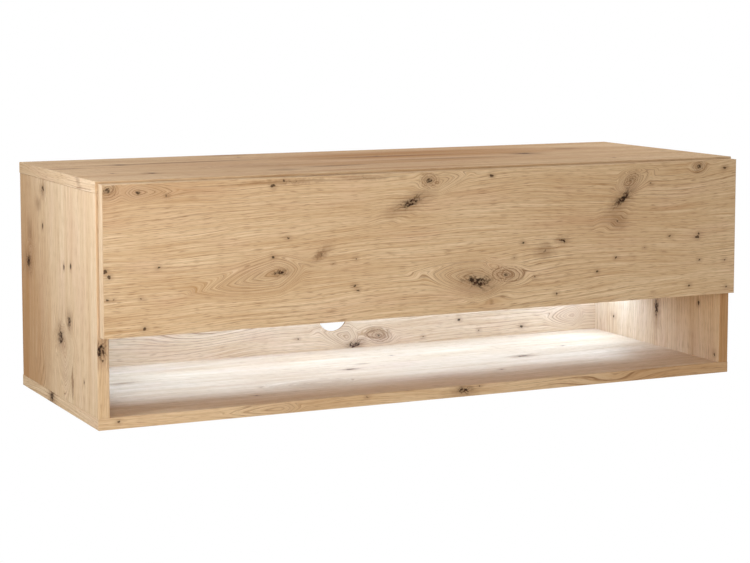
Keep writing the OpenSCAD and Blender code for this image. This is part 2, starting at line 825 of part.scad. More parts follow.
module hanger_screws() {
    color(ZINC) for (side = [-1, 1], z = hanger_screw_zs) handed(side)
        translate([-in_x + hanger_w / 2, hanger_rear_y - hanger_d, z])
            rotate([90, 0, 0]) screw(hanger_screw_d, hanger_screw_l, hanger_head_d);
}

module wall_plate(side) {
    step_z = seat_z - lip_h;
    color(STEEL) handed(side) difference() {
        translate([wall_plate_x - wall_plate_w / 2, 0, 0]) yz_plate(0, wall_plate_w) polygon([
            [0, wall_plate_low_z],
            [0, step_z],
            [-lip_gap, step_z],
            [-lip_gap, seat_z],
            [lip_front_y, seat_z],
            [lip_front_y, step_z - hook_t],
            [-hook_t, step_z - hook_t],
            [-hook_t, wall_plate_low_z]
        ]);
        for (dx = [-1, 1])
            rod_y([wall_plate_x + wall_hole_shift + dx * wall_pitch / 2, -hook_t - past, wall_hole_z],
                wall_hole_d, hook_t + 2 * past);
    }
}

// Fixings of the boards
module cam(deep) {
    difference() {
        cylinder(d = cam_d, h = deep);
        for (turn = [45, 135]) rotate(turn)
            translate([-cam_slot_l / 2, -cam_slot_w / 2, deep - cam_slot_deep])
                cube([cam_slot_l, cam_slot_w, cam_slot_deep + past]);
        translate([0, 0, board_t / 2 - (board_t - deep)]) rotate([0, 90, 0])
            translate([0, 0, -bolt_head_t]) cylinder(d = bolt_bore_d, h = cam_d);
    }
}

module cam_locks() {
    color(ZINC) for (side = [-1, 1], y = cam_ys) handed(side) {
        translate([-in_x - cam_t, y, under_top_z - cam_reach]) rotate([0, 90, 0]) rotate(180) cam(cam_t);
        translate([-in_x + cam_reach, y, shelf_top_z - cam_t]) rotate(180) cam(cam_t);
    }
}

// A cam bolt along z: its thread is below z = 0 and its head reaches up to the cam
module cam_bolt() {
    translate([0, 0, -bolt_in_face]) cylinder(d = bolt_d, h = bolt_in_face);
    cylinder(d = bolt_head_d, h = bolt_collar_l);
    cylinder(d = bolt_neck_d, h = cam_reach);
    translate([0, 0, cam_reach - bolt_head_t]) cylinder(d = bolt_head_d, h = bolt_head_t);
}

module cam_bolts() {
    color(STEEL) for (side = [-1, 1], y = cam_ys) handed(side) {
        translate([-side_mid_x, y, under_top_z]) rotate([180, 0, 0]) cam_bolt();
        translate([-in_x, y, shelf_mid_z]) rotate([0, 90, 0]) cam_bolt();
    }
}

module dowels() {
    color(BEECH) for (side = [-1, 1], y = dowel_ys) handed(side) {
        rod_z([-side_mid_x, y, under_top_z - dowel_in_edge], dowel_d, dowel_l);
        rod_z([-side_mid_x, y, floor_z - dowel_in_face], dowel_d, dowel_l);
        rod_x([-in_x - dowel_in_face, y, shelf_mid_z], dowel_d, dowel_l);
    }
}

module confirmat_screws() {
    color(ZINC) for (side = [-1, 1], y = confirmat_ys) handed(side)
        translate([-side_mid_x, y, -half_h + bore_end]) {
            cylinder(d = confirmat_head_d, h = confirmat_head_t);
            cylinder(d = confirmat_d, h = confirmat_l);
        }
}

module back_pins() {
    color(ZINC) for (p = pin_places) {
        rod_y([p[0], -pin_head_t, p[1]], pin_head_d, pin_head_t);
        rod_y([p[0], -pin_l, p[1]], pin_d, pin_l);
    }
}

// Light under the shelf: the profile is open downwards and the diffuser closes it
module light_profile() {
    low = shelf_under_z - led_h;
    color(ALUMINIUM) difference() {
        slab([-led_half_l, led_y - led_w / 2, low], [led_half_l, led_y + led_w / 2, shelf_under_z]);
        slab([-led_half_l - past, led_y - led_w / 2 + led_wall, low - past],
            [led_half_l + past, led_y + led_w / 2 - led_wall, shelf_under_z - led_wall]);
    }
}

module light_tape() {
    top = shelf_under_z - led_wall;
    color(OPAL)
        slab([-led_half_l, led_y - tape_w / 2, top - tape_t], [led_half_l, led_y + tape_w / 2, top]);
}

module light_diffuser() {
    low = shelf_under_z - led_h;
    reach = led_w / 2 - led_wall;
    color(OPAL) slab([-led_half_l, led_y - reach, low], [led_half_l, led_y + reach, low + diffuser_t]);
}

module light_end_caps() {
    color(ALUMINIUM) for (side = [-1, 1]) handed(side)
        slab([-led_half_l - led_cap_t, led_y - led_w / 2, shelf_under_z - led_h],
            [-led_half_l, led_y + led_w / 2, shelf_under_z]);
}

top_panel();
bottom_panel();
side_panel(-1);  // side_panel_left
side_panel(1);  // side_panel_right
middle_shelf();
back_panel();
top_edge_bands();
bottom_edge_bands();
side_edge_band(-1);  // side_edge_band_left
side_edge_band(1);  // side_edge_band_right
shelf_edge_band();
flap_panel();
flap_edge_bands();
flap_bumpers();
hinge_plate(-1);  // hinge_plate_left
hinge_plate(1);  // hinge_plate_right
hinge_arm(-1);  // hinge_arm_left
hinge_arm(1);  // hinge_arm_right
hinge_link(-1);  // hinge_link_left
hinge_link(1);  // hinge_link_right
hinge_pin(-1);  // hinge_pin_left
hinge_pin(1);  // hinge_pin_right
hinge_cup(-1);  // hinge_cup_left
hinge_cup(1);  // hinge_cup_right
hinge_plate_screws();
hinge_adjusting_screws();
hinge_cup_screws();
stay_base(-1);  // stay_base_left
stay_base(1);  // stay_base_right
stay_knob(-1);  // stay_knob_left
stay_knob(1);  // stay_knob_right
stay_arm(-1);  // stay_arm_left
stay_arm(1);  // stay_arm_right
stay_rivet(-1);  // stay_rivet_left
stay_rivet(1);  // stay_rivet_right
stay_link(-1);  // stay_link_left
stay_link(1);  // stay_link_right
flap_bracket(-1);  // flap_bracket_left
flap_bracket(1);  // flap_bracket_right
stay_base_screws();
flap_bracket_screws();
hanger_casing(-1);  // hanger_casing_left
hanger_casing(1);  // hanger_casing_right
hanger_hook(-1);  // hanger_hook_left
hanger_hook(1);  // hanger_hook_right
hanger_screws();
wall_plate(-1);  // wall_plate_left
wall_plate(1);  // wall_plate_right
cam_locks();
cam_bolts();
dowels();
confirmat_screws();
back_pins();
light_profile();
light_tape();
light_diffuser();
light_end_caps();
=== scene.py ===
"""Looks of the wall-hung media cabinet: melamine-faced boards in a knotty oak decor, steel and
plastic fittings, and the light strip that washes the open niche. Lengths are metres, but for
those whose comment says mm."""
import json
import math
import bpy
import bmesh
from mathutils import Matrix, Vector


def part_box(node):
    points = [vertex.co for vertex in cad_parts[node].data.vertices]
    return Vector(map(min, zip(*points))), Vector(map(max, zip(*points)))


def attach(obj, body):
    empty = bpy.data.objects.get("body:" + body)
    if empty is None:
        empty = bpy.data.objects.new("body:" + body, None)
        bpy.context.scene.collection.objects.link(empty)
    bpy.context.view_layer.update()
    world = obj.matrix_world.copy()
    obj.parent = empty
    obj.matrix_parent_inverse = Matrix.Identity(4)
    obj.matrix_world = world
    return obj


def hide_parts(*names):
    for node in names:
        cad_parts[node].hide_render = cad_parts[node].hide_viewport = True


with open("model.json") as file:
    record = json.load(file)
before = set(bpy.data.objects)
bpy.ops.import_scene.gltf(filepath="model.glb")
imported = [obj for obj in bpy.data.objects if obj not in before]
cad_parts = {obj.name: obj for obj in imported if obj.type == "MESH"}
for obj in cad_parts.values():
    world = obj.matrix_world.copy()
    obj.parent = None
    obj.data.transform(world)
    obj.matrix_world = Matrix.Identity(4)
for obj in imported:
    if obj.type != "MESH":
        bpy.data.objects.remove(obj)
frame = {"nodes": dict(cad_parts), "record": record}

MM = 0.001
X, Y, Z = 0, 1, 2
scene = bpy.context.scene
nodes = frame["nodes"]
body_of_node = {node: body for body, members in frame["record"]["behaviour"]["bodies"].items()
                for node in members}
slot_of_node = {row["node"]: row["material_slot"] for row in frame["record"]["subparts"]}
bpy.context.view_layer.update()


# Camera, at the photograph's standpoint

CAMERA_PLACE = (-1.3069, -2.8951, 0.3987)
# How far it looks to the right and down, in degrees
CAMERA_YAW = 25.524
CAMERA_PITCH = 5.769
# Lens and sensor in mm, and the small shift as a share of the frame's width
LENS = 97.62
SENSOR = 36
SHIFT_DOWN = -0.1


def photo_camera():
    """In front of the left end and a little above the top, as far off as the perspective says."""
    data = bpy.data.cameras.new("camera")
    data.sensor_width = SENSOR
    data.lens = LENS
    data.shift_y = SHIFT_DOWN
    camera = bpy.data.objects.new("camera", data)
    camera.location = CAMERA_PLACE
    camera.rotation_euler = (math.radians(90 - CAMERA_PITCH), 0, math.radians(-CAMERA_YAW))
    scene.collection.objects.link(camera)
    scene.camera = camera


photo_camera()


# Helpers

def add(tree, kind, inputs=None, **settings):
    """Adds a node and gives its outputs. Settings are its own properties, and inputs are values or
    sockets for its inputs."""
    node = tree.nodes.new(kind)
    for name, value in settings.items():
        setattr(node, name, value)
    for key, value in (inputs or {}).items():
        if isinstance(value, bpy.types.NodeSocket):
            tree.links.new(value, node.inputs[key])
        else:
            node.inputs[key].default_value = value
    return node.outputs


def rgb(code):
    """An sRGB hex colour as the linear colour that a shader takes."""
    parts = [int(code[k:k + 2], 16) / 255 for k in (1, 3, 5)]
    return [c / 12.92 if c <= 0.04045 else ((c + 0.055) / 1.055) ** 2.4 for c in parts] + [1]


def new_material(name):
    """An empty node material, as (material, tree, place on the piece in metres)."""
    material = bpy.data.materials.new(name)
    material.use_nodes = True
    tree = material.node_tree
    tree.nodes.clear()
    return material, tree, add(tree, "ShaderNodeTexCoord")["Object"]


# Settings of a fade that starts and ends gently, and of a mix of colours
SMOOTH = {"interpolation_type": "SMOOTHSTEP"}
RGBA = {"data_type": "RGBA"}


# Knots in the decor

# What each kind of mark does: how far it parts the grain (below 0 draws it together), how far it
# lifts it as a share of its half width, how pointed its arcs are, how strong its rings are, the
# share of its half size that the core takes, how strong its cracks, halo and dark core are, and
# how much shorter its figure is on the side that it leans to
KNOT_KINDS = {
    "star": (-0.2, 0.0, 0.0, 0.0, 0.2, 0.6, 0.42, 0.95, 1.0),
    "eye": (0.7, 0.2, 0.0, 0.7, 0.16, 0.2, 0.36, 0.85, 1.0),
    "swirl": (0.8, 0.3, 0.0, 0.8, 0.09, 0.3, 0.36, 0.7, 1.0),
    "flame": (0.95, 1.3, 0.35, 0.0, 0.001, 0.0, 0.12, 0.0, 2.6),
    "swell": (0.0, 0.5, 0.0, 0.0, 0.001, 0.0, 0.0, 0.0, 1.0),
    "smudge": (0.0, 0.0, 0.0, 0.0, 0.06, 0.0, 0.40, 0.5, 1.0),
    "streak": (0.0, 0.0, 0.0, 0.0, 0.001, 0.0, 0.75, 0.0, 1.0),
}
# Kinds whose outline is torn coarsely; the others are only nicked
RAGGED_KINDS = ("star", "smudge", "streak")
# Rings from a knot's middle to the edge of its figure, and cells of its chips to the mm
RING_COUNT = 6.5
CHIP_SCALE = 0.22


def knot_group():
    """One mark in the decor: it parts or lifts the grain field round itself, and adds a ragged
    dark core with cracks and a brown halo."""
    tree = bpy.data.node_groups.new("knot", "ShaderNodeTree")
    for side, kind, names in (
            ("INPUT", "Vector", "Flat Torn Place Turn Reach Lean"),
            ("INPUT", "Float", "Field Dark Halo Figure Part Lift Sharp Rings Core Cracks Tone Ink"),
            ("OUTPUT", "Float", "Field Dark Halo Figure")):
        for name in names.split():
            tree.interface.new_socket(name, in_out=side, socket_type="NodeSocket" + kind)
    given = add(tree, "NodeGroupInput")
    near, torn = [add(tree, "ShaderNodeMapping", {"Vector": given[name], "Location": given["Place"],
                  "Rotation": given["Turn"], "Scale": given["Reach"]}, vector_type="TEXTURE")[0]
                  for name in ("Flat", "Torn")]

    # The grain field, parted and lifted
    backwards = add(tree, "ShaderNodeVectorMath", {0: near, 1: (-1, -1, 0)}, operation="MULTIPLY")[0]
    forwards = add(tree, "ShaderNodeVectorMath", {0: near, 1: given["Lean"]}, operation="MULTIPLY")[0]
    size = add(tree, "ShaderNodeVectorMath", {0: backwards, 1: forwards}, operation="MAXIMUM")[0]
    round_away = add(tree, "ShaderNodeVectorMath", {0: size}, operation="LENGTH")["Value"]
    point_away = add(tree, "ShaderNodeVectorMath", {0: size, 1: (1, 1, 0)},
                     operation="DOT_PRODUCT")["Value"]
    away = add(tree, "ShaderNodeMix", {"Factor": given["Sharp"], "A": round_away, "B": point_away})[0]
    swell = add(tree, "ShaderNodeMapRange", {"Value": away, "From Min": 0.85, "From Max": 0}, **SMOOTH)[0]
    offset = add(tree, "ShaderNodeVectorMath", {0: given["Flat"], 1: given["Place"]},
                 operation="SUBTRACT")[0]
    across = add(tree, "ShaderNodeVectorMath", {0: offset, 1: (0, 1, 0)}, operation="DOT_PRODUCT")["Value"]
    settled = add(tree, "ShaderNodeMapRange", {"Value": away, "From Min": 1, "From Max": 0.6}, **SMOOTH)[0]
    share = add(tree, "ShaderNodeMath", {0: given["Part"], 1: settled}, operation="MULTIPLY")[0]
    pushed = add(tree, "ShaderNodeMath", {0: share, 1: across}, operation="MULTIPLY")[0]
    parted = add(tree, "ShaderNodeMath", {0: given["Field"], 1: pushed}, operation="SUBTRACT")[0]
    lifted = add(tree, "ShaderNodeMath", {0: given["Lift"], 1: swell, 2: parted},
                 operation="MULTIPLY_ADD")[0]

    # The core, ragged as torn wood, with paler chips about 4 mm wide in it, and the cracks
    # that run out of it
    torn_away = add(tree, "ShaderNodeVectorMath", {0: torn}, operation="LENGTH")["Value"]
    scaled = add(tree, "ShaderNodeMath", {0: torn_away, 1: given["Core"]}, operation="DIVIDE")[0]
    core = add(tree, "ShaderNodeMapRange", {"Value": scaled, "From Min": 1.15, "From Max": 0.7,
               "To Max": given["Ink"]}, **SMOOTH)[0]
    chip = add(tree, "ShaderNodeTexNoise", {"Vector": given["Flat"], "Scale": CHIP_SCALE, "Detail": 1.0})[0]
    chips = add(tree, "ShaderNodeMapRange", {"Value": chip, "From Min": 0.4, "From Max": 0.52,
                "To Min": 0.4}, **SMOOTH)[0]
    core = add(tree, "ShaderNodeMath", {0: core, 1: chips}, operation="MULTIPLY")[0]
    heading = add(tree, "ShaderNodeVectorMath", {0: torn}, operation="NORMALIZE")[0]
    rays = add(tree, "ShaderNodeTexNoise", {"Vector": heading, "Scale": 2.6, "Detail": 1.0})[0]
    ray_lines = add(tree, "ShaderNodeMapRange", {"Value": rays, "From Min": 0.5, "From Max": 0.62,
                    "To Max": given["Cracks"]})[0]
    ray_end = add(tree, "ShaderNodeMapRange", {"Value": scaled, "From Min": 2.3, "From Max": 0.9},
                  **SMOOTH)[0]
    cracks = add(tree, "ShaderNodeMath", {0: ray_lines, 1: ray_end}, operation="MULTIPLY")[0]
    darker = add(tree, "ShaderNodeMath", {0: core, 1: cracks}, operation="MAXIMUM")[0]
    dark = add(tree, "ShaderNodeMath", {0: darker, 1: given["Dark"]}, operation="MAXIMUM")[0]
    brown = add(tree, "ShaderNodeMapRange", {"Value": torn_away, "From Min": 0.85, "From Max": 0.1,
                "To Max": given["Tone"]}, **SMOOTH)[0]
    rounds = add(tree, "ShaderNodeMath", {0: torn_away, 1: RING_COUNT}, operation="MULTIPLY")[0]
    rounds = add(tree, "ShaderNodeMath", {0: rounds}, operation="FRACT")[0]
    inside = add(tree, "ShaderNodeMapRange", {"Value": away, "From Min": 0.66, "From Max": 0.5,
                 "To Max": given["Rings"]}, **SMOOTH)[0]
    rings = add(tree, "ShaderNodeMapRange", {"Value": rounds, "From Min": 0.45, "From Max": 0.95,
                "To Max": inside}, **SMOOTH)[0]
    brown = add(tree, "ShaderNodeMath", {0: brown, 1: rings}, operation="MAXIMUM")[0]
    halo = add(tree, "ShaderNodeMath", {0: brown, 1: given["Halo"]}, operation="MAXIMUM")[0]
    lively = add(tree, "ShaderNodeMapRange", {"Value": away, "From Min": 1.1, "From Max": 0.5}, **SMOOTH)[0]
    figure = add(tree, "ShaderNodeMath", {0: lively, 1: given["Figure"]}, operation="MAXIMUM")[0]
    add(tree, "NodeGroupOutput", {"Field": lifted, "Dark": dark, "Halo": halo, "Figure": figure})
    return tree


KNOT = knot_group()

# Each mark, in mm on its face: kind, place along and across the grain, half sizes of the grain
# that it disturbs, and tilt in degrees
FLAP_KNOTS = [
    ("flame", 62, 7, 128, 36, -8),
    ("star", 57, 2, 78, 34, -10),
    ("swirl", 102, 10, 50, 22, -6),
    ("star", -50, 120, 76, 21, 22),
    ("flame", -8, 148, 74, 22, 190),
    ("eye", -21, 150, 27, 20, 0),
    ("star", 297, 111, 72, 24, 44),
    ("flame", 304, 134, 62, 24, 200),
    ("swirl", 311, 138, 30, 16, 28),
    ("eye", 430, 153, 24, 17, 0),
    ("eye", -490, 154, 27, 20, 0),
    ("flame", -449, 150, 78, 18, 180),
    ("flame", -252, 32, 142, 34, 9),
    ("star", -247, 33, 34, 13, 0),
    ("smudge", -230, 156, 130, 6, 0),
    ("smudge", -120, 158, 80, 7, 0),
    ("smudge", -185, 56, 34, 12, 40),
    ("streak", -188, 55, 20, 8, 40),
    ("star", 195, 54, 22, 11, 0),
    ("smudge", 166, 41, 30, 22, 0),
    ("smudge", 289, 79, 30, 24, 0),
]
# Small dark dots: place along and across the grain, and diameter, in mm
FLAP_DOTS = [
    (-448, 150, 5), (-409, 145, 3), (-257, 152, 6), (-241, 158, 4), (-495, 48, 7), (-489, 41, 5),
    (-420, 50, 4), (-257, 54, 5), (-235, 80, 4), (-168, 41, 2), (-134, 46, 3), (-136, 8, 4),
    (-131, 2, 3), (-491, 11, 4), (-483, 11, 3), (-445, 9, 3), (-441, -30, 5), (78, 153, 5),
    (130, 55, 4), (116, 34, 2), (186, -23, 4), (254, 6, 4), (287, 25, 4), (336, 37, 2),
    (476, 150, 5), (428, 48, 6), (431, 52, 4), (380, 52, 4), (433, 13, 4), (478, 11, 3),
    (415, -24, 4), (482, -30, 4), (150, 4, 3), (345, 132, 3),
]
SIDE_LEFT_KNOTS = [
    ("flame", 44, -54, 52, 34, 0),
    ("star", 24, -42, 36, 40, 20),
    ("smudge", 66, -50, 40, 22, 0),
    ("star", -64, -196, 42, 44, -30),
    ("star", -38, -237, 34, 28, 0),
    ("flame", -70, -215, 96, 66, 0),
    ("star", 135, -119, 22, 24, 0),
    ("smudge", 112, -94, 18, 22, 0),
    ("streak", -120, -248, 36, 9, 0),
    ("swell", -120, -120, 90, 44, 0),
]
SIDE_LEFT_DOTS = [(82, -115, 7), (36, -215, 6), (40, -246, 7), (-110, -300, 4)]
SIDE_RIGHT_KNOTS = [
    ("star", -89, -188, 58, 20, 0),
    ("eye", 95, -110, 64, 30, 0),
    ("swell", 20, -260, 100, 46, 0),
    ("eye", -30, -70, 44, 20, 0),
]
SIDE_RIGHT_DOTS = [(-65, -304, 6), (-138, -348, 5), (60, -200, 4), (120, -320, 4), (-120, -60, 4)]
BACK_KNOTS = [
    ("swell", -210, -112, 150, 30, 4),
    ("flame", 24, -130, 72, 28, -14),
    ("star", 38, -144, 44, 20, 14),
    ("swirl", 80, -132, 42, 21, -10),
    ("flame", 440, -124, 74, 28, 0),
    ("star", -310, 62, 70, 26, 0),
    ("eye", 150, 96, 64, 28, 10),
    ("flame", 330, 20, 110, 36, 0),
]
BACK_DOTS = [(225, -116, 5), (342, -135, 5), (160, -140, 3), (-60, -128, 3), (262, -136, 3),
             (-200, 20, 4), (20, 40, 4), (-90, 110, 5), (400, 80, 5)]
FLOOR_KNOTS = [
    ("star", 242, -183, 46, 20, 0),
    ("smudge", -393, -134, 34, 12, 8),
    ("star", -48, -172, 30, 13, 0),
    ("smudge", -14, -138, 26, 8, 0),
    ("flame", -120, -250, 150, 44, 0),
]
FLOOR_DOTS = [(157, -269, 5), (347, -128, 4), (-250, -300, 4), (60, -90, 4)]
TOP_KNOTS = [
    ("smudge", 100, -206, 170, 24, -3),
    ("star", 248, -172, 54, 40, 0),
    ("streak", -290, -112, 230, 12, 2),
    ("star", -386, -117, 40, 26, 0),
    ("streak", 30, -130, 190, 14, 0),
    ("smudge", -180, -10, 60, 26, 0),
    ("smudge", -201, -290, 40, 26, 0),
    ("streak", -110, -260, 90, 14, 3),
    ("star", -391, -269, 24, 26, 0),
    ("smudge", -474, -150, 44, 18, 0),
    ("smudge", 357, -112, 40, 26, 0),
    ("flame", -200, -210, 120, 60, 4),
]
TOP_DOTS = [(-440, -250, 5), (-180, -60, 5), (20, -120, 5), (330, -300, 5), (470, -220, 4)]
SHELF_KNOTS = [
    ("star", -260, -220, 62, 26, 0),
    ("flame", 120, -130, 140, 44, 0),
    ("eye", 310, -260, 50, 24, 0),
]
SHELF_DOTS = [(-60, -300, 5), (210, -60, 4), (-400, -90, 5), (430, -170, 4)]
# Strips that turn a corner read their grain this many mm along, so that no mark shows twice
TURNED_SHIFT = 2000
BOTTOM_BAND_KNOTS = [("star", 45, -156, 42, 17, 0), ("star", 1852, -156, 36, 36, 30),
                     ("swell", 290, -162, 130, 18, 0), ("flame", -240, -158, 120, 16, 0)]
BOTTOM_BAND_DOTS = [(-108, -152, 3), (-472, -155, 4), (70, -151, 3)]
# Browner areas: place and half sizes in mm, and strength. The flap's first area and the left
# side's areas are painted shade, darkening the flap's upper left and the side towards its back
# and bottom, where less light falls; the others brown the flap and the top in streaks and the
# bottom band towards its right end
FLAP_BROWN_AND_PAINTED_SHADE = [(-420, 190, 320, 150, 0.28), (250, 80, 170, 34, 0.22)]
SIDE_LEFT_PAINTED_SHADE = [(-110, 10, 400, 220, 0.74), (60, -10, 300, 110, 0.4)]
TOP_SHADES = [(-80, -180, 760, 320, 0.4), (90, -110, 420, 110, 1.0), (-20, -225, 400, 60, 0.7),
              (-60, -330, 200, 22, 0.7)]
BOTTOM_BAND_SHADES = [(430, -157, 330, 40, 0.5)]

# Wanders that bend the grain: size in mm along, across and into the board, and bend in mm
WANDERS = [((520, 150, 9), 56.0), ((110, 34, 9), 7.0)]
# Size of the tears in the marks' outlines, and how far coarse and fine ones reach, in mm
TEAR_SIZE = 7
TORN_REACH = (17, 10, 0)
NICKED_REACH = (6, 6, 0)
# A dot's width across the grain as a share of its length along it
DOT_SQUASH = 0.75
# Further from a dot's rim, in mm, than any dot is seen
NO_DOT = 50.0
# Patterns of the decor: whether they follow the grain field, size in mm along, across and into
# the board, detail and roughness. Real pores are 0.3 mm wide and real fibres finer still, so both
# are drawn this coarse to show
PATTERNS = {
    "fibre": (True, (110, 1.3, 1), 2.0, 0.6),
    "streak": (True, (260, 6, 1), 2.0, 0.6),
    "band": (True, (640, 34, 1), 2.0, 0.6),
    "pore": (True, (18, 0.8, 1), 1.0, 0.5),
    "patch": (False, (240, 60, 1), 2.0, 0.5),
    "char": (False, (7, 3, 1), 2.0, 0.5),
    "emboss": (False, (9, 1.1, 1), 2.0, 0.5),
}
# Growth lines: their step, and how far the streaks shift them, in mm
GROWTH_STEP = 6.2
GROWTH_SHIFT = 5.0
# A face looks along an axis where its normal has more than this of it
FACE_ON = 0.7


def oak(name, along, across, knots=(), dots=(), skin=None, ends=None, rise=0.0, raw_back=False,
        bold=1.0, crisp=1.0, brown_areas_and_painted_shade=(), front_painted_shade=0.0):
    """Melamine-faced chipboard in a knotty oak decor: a matt printed skin whose fine pores catch
    the light. along and across are the axes of the grain, skin the axis that the printed faces
    look along, and ends the (face axis, grain axis) of strips that turn a corner. A board with a
    raw back is hardboard, printed only on the face that looks forwards. bold strengthens the
    streaks and crisp the fibres and pores. The listed areas are browned, some as browner areas of
    the decor and some as painted shade, and faces that look forwards get painted shade by the
    front share."""
    material, tree, place = new_material(name)
    normal = add(tree, "ShaderNodeTexCoord")["Normal"]
    place = add(tree, "ShaderNodeVectorMath", {0: place, "Scale": 1 / MM}, operation="SCALE")[0]
    axes = add(tree, "ShaderNodeSeparateXYZ", {0: place})
    facing = add(tree, "ShaderNodeVectorMath", {0: normal}, operation="ABSOLUTE")[0]
    facing = add(tree, "ShaderNodeSeparateXYZ", {0: facing})
    u, v = axes[along], axes[across]
    w = axes[3 - along - across]
    if ends:
        turned = add(tree, "ShaderNodeMath", {0: facing[ends[0]], 1: FACE_ON}, operation="GREATER_THAN")[0]
        shifted = add(tree, "ShaderNodeMath", {0: axes[ends[1]], 1: TURNED_SHIFT}, operation="ADD")[0]
        u = add(tree, "ShaderNodeMix", {"Factor": turned, "A": u, "B": shifted})[0]
        w = 0.0
    flat = add(tree, "ShaderNodeCombineXYZ", {"X": u, "Y": v})[0]
    deep = add(tree, "ShaderNodeCombineXYZ", {"X": u, "Y": v, "Z": w})[0]

    # The grain field is the distance across the grain, bent by a slow wander and then a quick one
    field = v
    for size, bend in WANDERS:
        spot = add(tree, "ShaderNodeVectorMath", {0: deep, 1: [1 / s for s in size]},
                   operation="MULTIPLY")[0]
        wander = add(tree, "ShaderNodeTexNoise", {"Vector": spot, "Scale": 1.0, "Detail": 1.0})[0]
        field = add(tree, "ShaderNodeMath", {0: wander, 1: bend, 2: field}, operation="MULTIPLY_ADD")[0]
    field = add(tree, "ShaderNodeMath", {0: u, 1: -rise, 2: field}, operation="MULTIPLY_ADD")[0]

    # Outlines wander coarsely where they are torn, and less where they are nicked
    ragged = add(tree, "ShaderNodeTexNoise", {"Vector": deep, "Scale": 1 / TEAR_SIZE, "Detail": 2.0,
                 "Roughness": 0.6})["Color"]
    ragged = add(tree, "ShaderNodeVectorMath", {0: ragged, 1: (0.5, 0.5, 0.5)}, operation="SUBTRACT")[0]
    torn, nicked = [add(tree, "ShaderNodeVectorMath", {0: ragged, 1: reach, 2: flat},
                    operation="MULTIPLY_ADD")[0] for reach in (TORN_REACH, NICKED_REACH)]

    dark, halo, figure = 0.0, 0.0, 0.0
    for (kind, k_u, k_v, half_u, half_v, tilt) in knots:
        part, lift, sharp, rings, centre, cracks, tone, ink, lean = KNOT_KINDS[kind]
        knot = add(tree, "ShaderNodeGroup", {
            "Flat": flat, "Torn": torn if kind in RAGGED_KINDS else nicked, "Field": field,
            "Dark": dark, "Halo": halo, "Figure": figure, "Place": (k_u, k_v, 0),
            "Turn": (0, 0, math.radians(tilt)), "Reach": (half_u, half_v, 1), "Lean": (lean, 1, 0),
            "Part": part, "Lift": lift * half_v, "Sharp": sharp, "Rings": rings, "Core": centre,
            "Cracks": cracks, "Tone": tone, "Ink": ink}, node_tree=KNOT)
        field, dark, halo, figure = knot["Field"], knot["Dark"], knot["Halo"], knot["Figure"]
    if dots:
        squashed = add(tree, "ShaderNodeVectorMath", {0: nicked, 1: (DOT_SQUASH, 1, 1)},
                       operation="MULTIPLY")[0]
        nearest = NO_DOT
        for (d_u, d_v, size) in dots:
            away = add(tree, "ShaderNodeVectorMath", {0: squashed, 1: (DOT_SQUASH * d_u, d_v, 0)},
                       operation="DISTANCE")["Value"]
            rim = add(tree, "ShaderNodeMath", {0: away, 1: size / 2}, operation="SUBTRACT")[0]
            nearest = add(tree, "ShaderNodeMath", {0: nearest, 1: rim}, operation="MINIMUM")[0]
        dot = add(tree, "ShaderNodeMapRange", {"Value": nearest, "From Min": 0.1, "From Max": -1.3,
                  "To Max": 0.85}, **SMOOTH)[0]
        dark = add(tree, "ShaderNodeMath", {0: dot, 1: dark}, operation="MAXIMUM")[0]
        ring = add(tree, "ShaderNodeMapRange", {"Value": nearest, "From Min": 6, "From Max": -1,
                   "To Max": 0.3}, **SMOOTH)[0]
        halo = add(tree, "ShaderNodeMath", {0: ring, 1: halo}, operation="MAXIMUM")[0]

    # The tone between late and early wood adds fibres, streaks, broad bands and patches
    grain = add(tree, "ShaderNodeCombineXYZ", {"X": u, "Y": field, "Z": w})[0]
    layer = {}
    for pattern, (follows, size, detail, roughness) in PATTERNS.items():
        spot = add(tree, "ShaderNodeVectorMath", {0: grain if follows else deep,
                   1: [1 / s for s in size]}, operation="MULTIPLY")[0]
        layer[pattern] = add(tree, "ShaderNodeTexNoise", {"Vector": spot, "Scale": 1.0,
                             "Detail": detail, "Roughness": roughness})[0]
    tone = 0.5
    for pattern, weight in (("fibre", 1.3 * crisp), ("streak", 0.4 * bold), ("band", 0.65 * bold),
                            ("patch", 0.5)):
        centred = add(tree, "ShaderNodeMath", {0: layer[pattern], 1: 0.5}, operation="SUBTRACT")[0]
        tone = add(tree, "ShaderNodeMath", {0: centred, 1: weight, 2: tone}, operation="MULTIPLY_ADD")[0]

    # Pores are dark dashes
    pores = add(tree, "ShaderNodeMapRange", {"Value": layer["pore"], "From Min": 0.56, "From Max": 0.72,
                "To Max": 0.55 * crisp})[0]

    # Growth lines are unevenly spaced: each is thin, ends at once, and is made of pores
    spacing = add(tree, "ShaderNodeMath", {0: layer["streak"], 1: GROWTH_SHIFT, 2: field},
                  operation="MULTIPLY_ADD")[0]
    turn = add(tree, "ShaderNodeMath", {0: spacing, 1: 1 / GROWTH_STEP}, operation="MULTIPLY")[0]
    ramp = add(tree, "ShaderNodeMath", {0: turn}, operation="FRACT")[0]
    lines = add(tree, "ShaderNodeMapRange", {"Value": ramp, "From Min": 0.66, "From Max": 0.97},
                **SMOOTH)[0]
    plain = add(tree, "ShaderNodeMapRange", {"Value": layer["patch"], "From Min": 0.35,
                "From Max": 0.7, "To Max": 0.55})[0]
    shown = add(tree, "ShaderNodeMath", {0: figure, 1: 0.45, 2: plain}, operation="MULTIPLY_ADD")[0]
    broken = add(tree, "ShaderNodeMapRange", {"Value": layer["pore"], "From Min": 0.3,
                 "From Max": 0.62, "To Min": 0.25})[0]
    shown = add(tree, "ShaderNodeMath", {0: shown, 1: broken}, operation="MULTIPLY")[0]
    lines = add(tree, "ShaderNodeMath", {0: lines, 1: shown}, operation="MULTIPLY", use_clamp=True)[0]
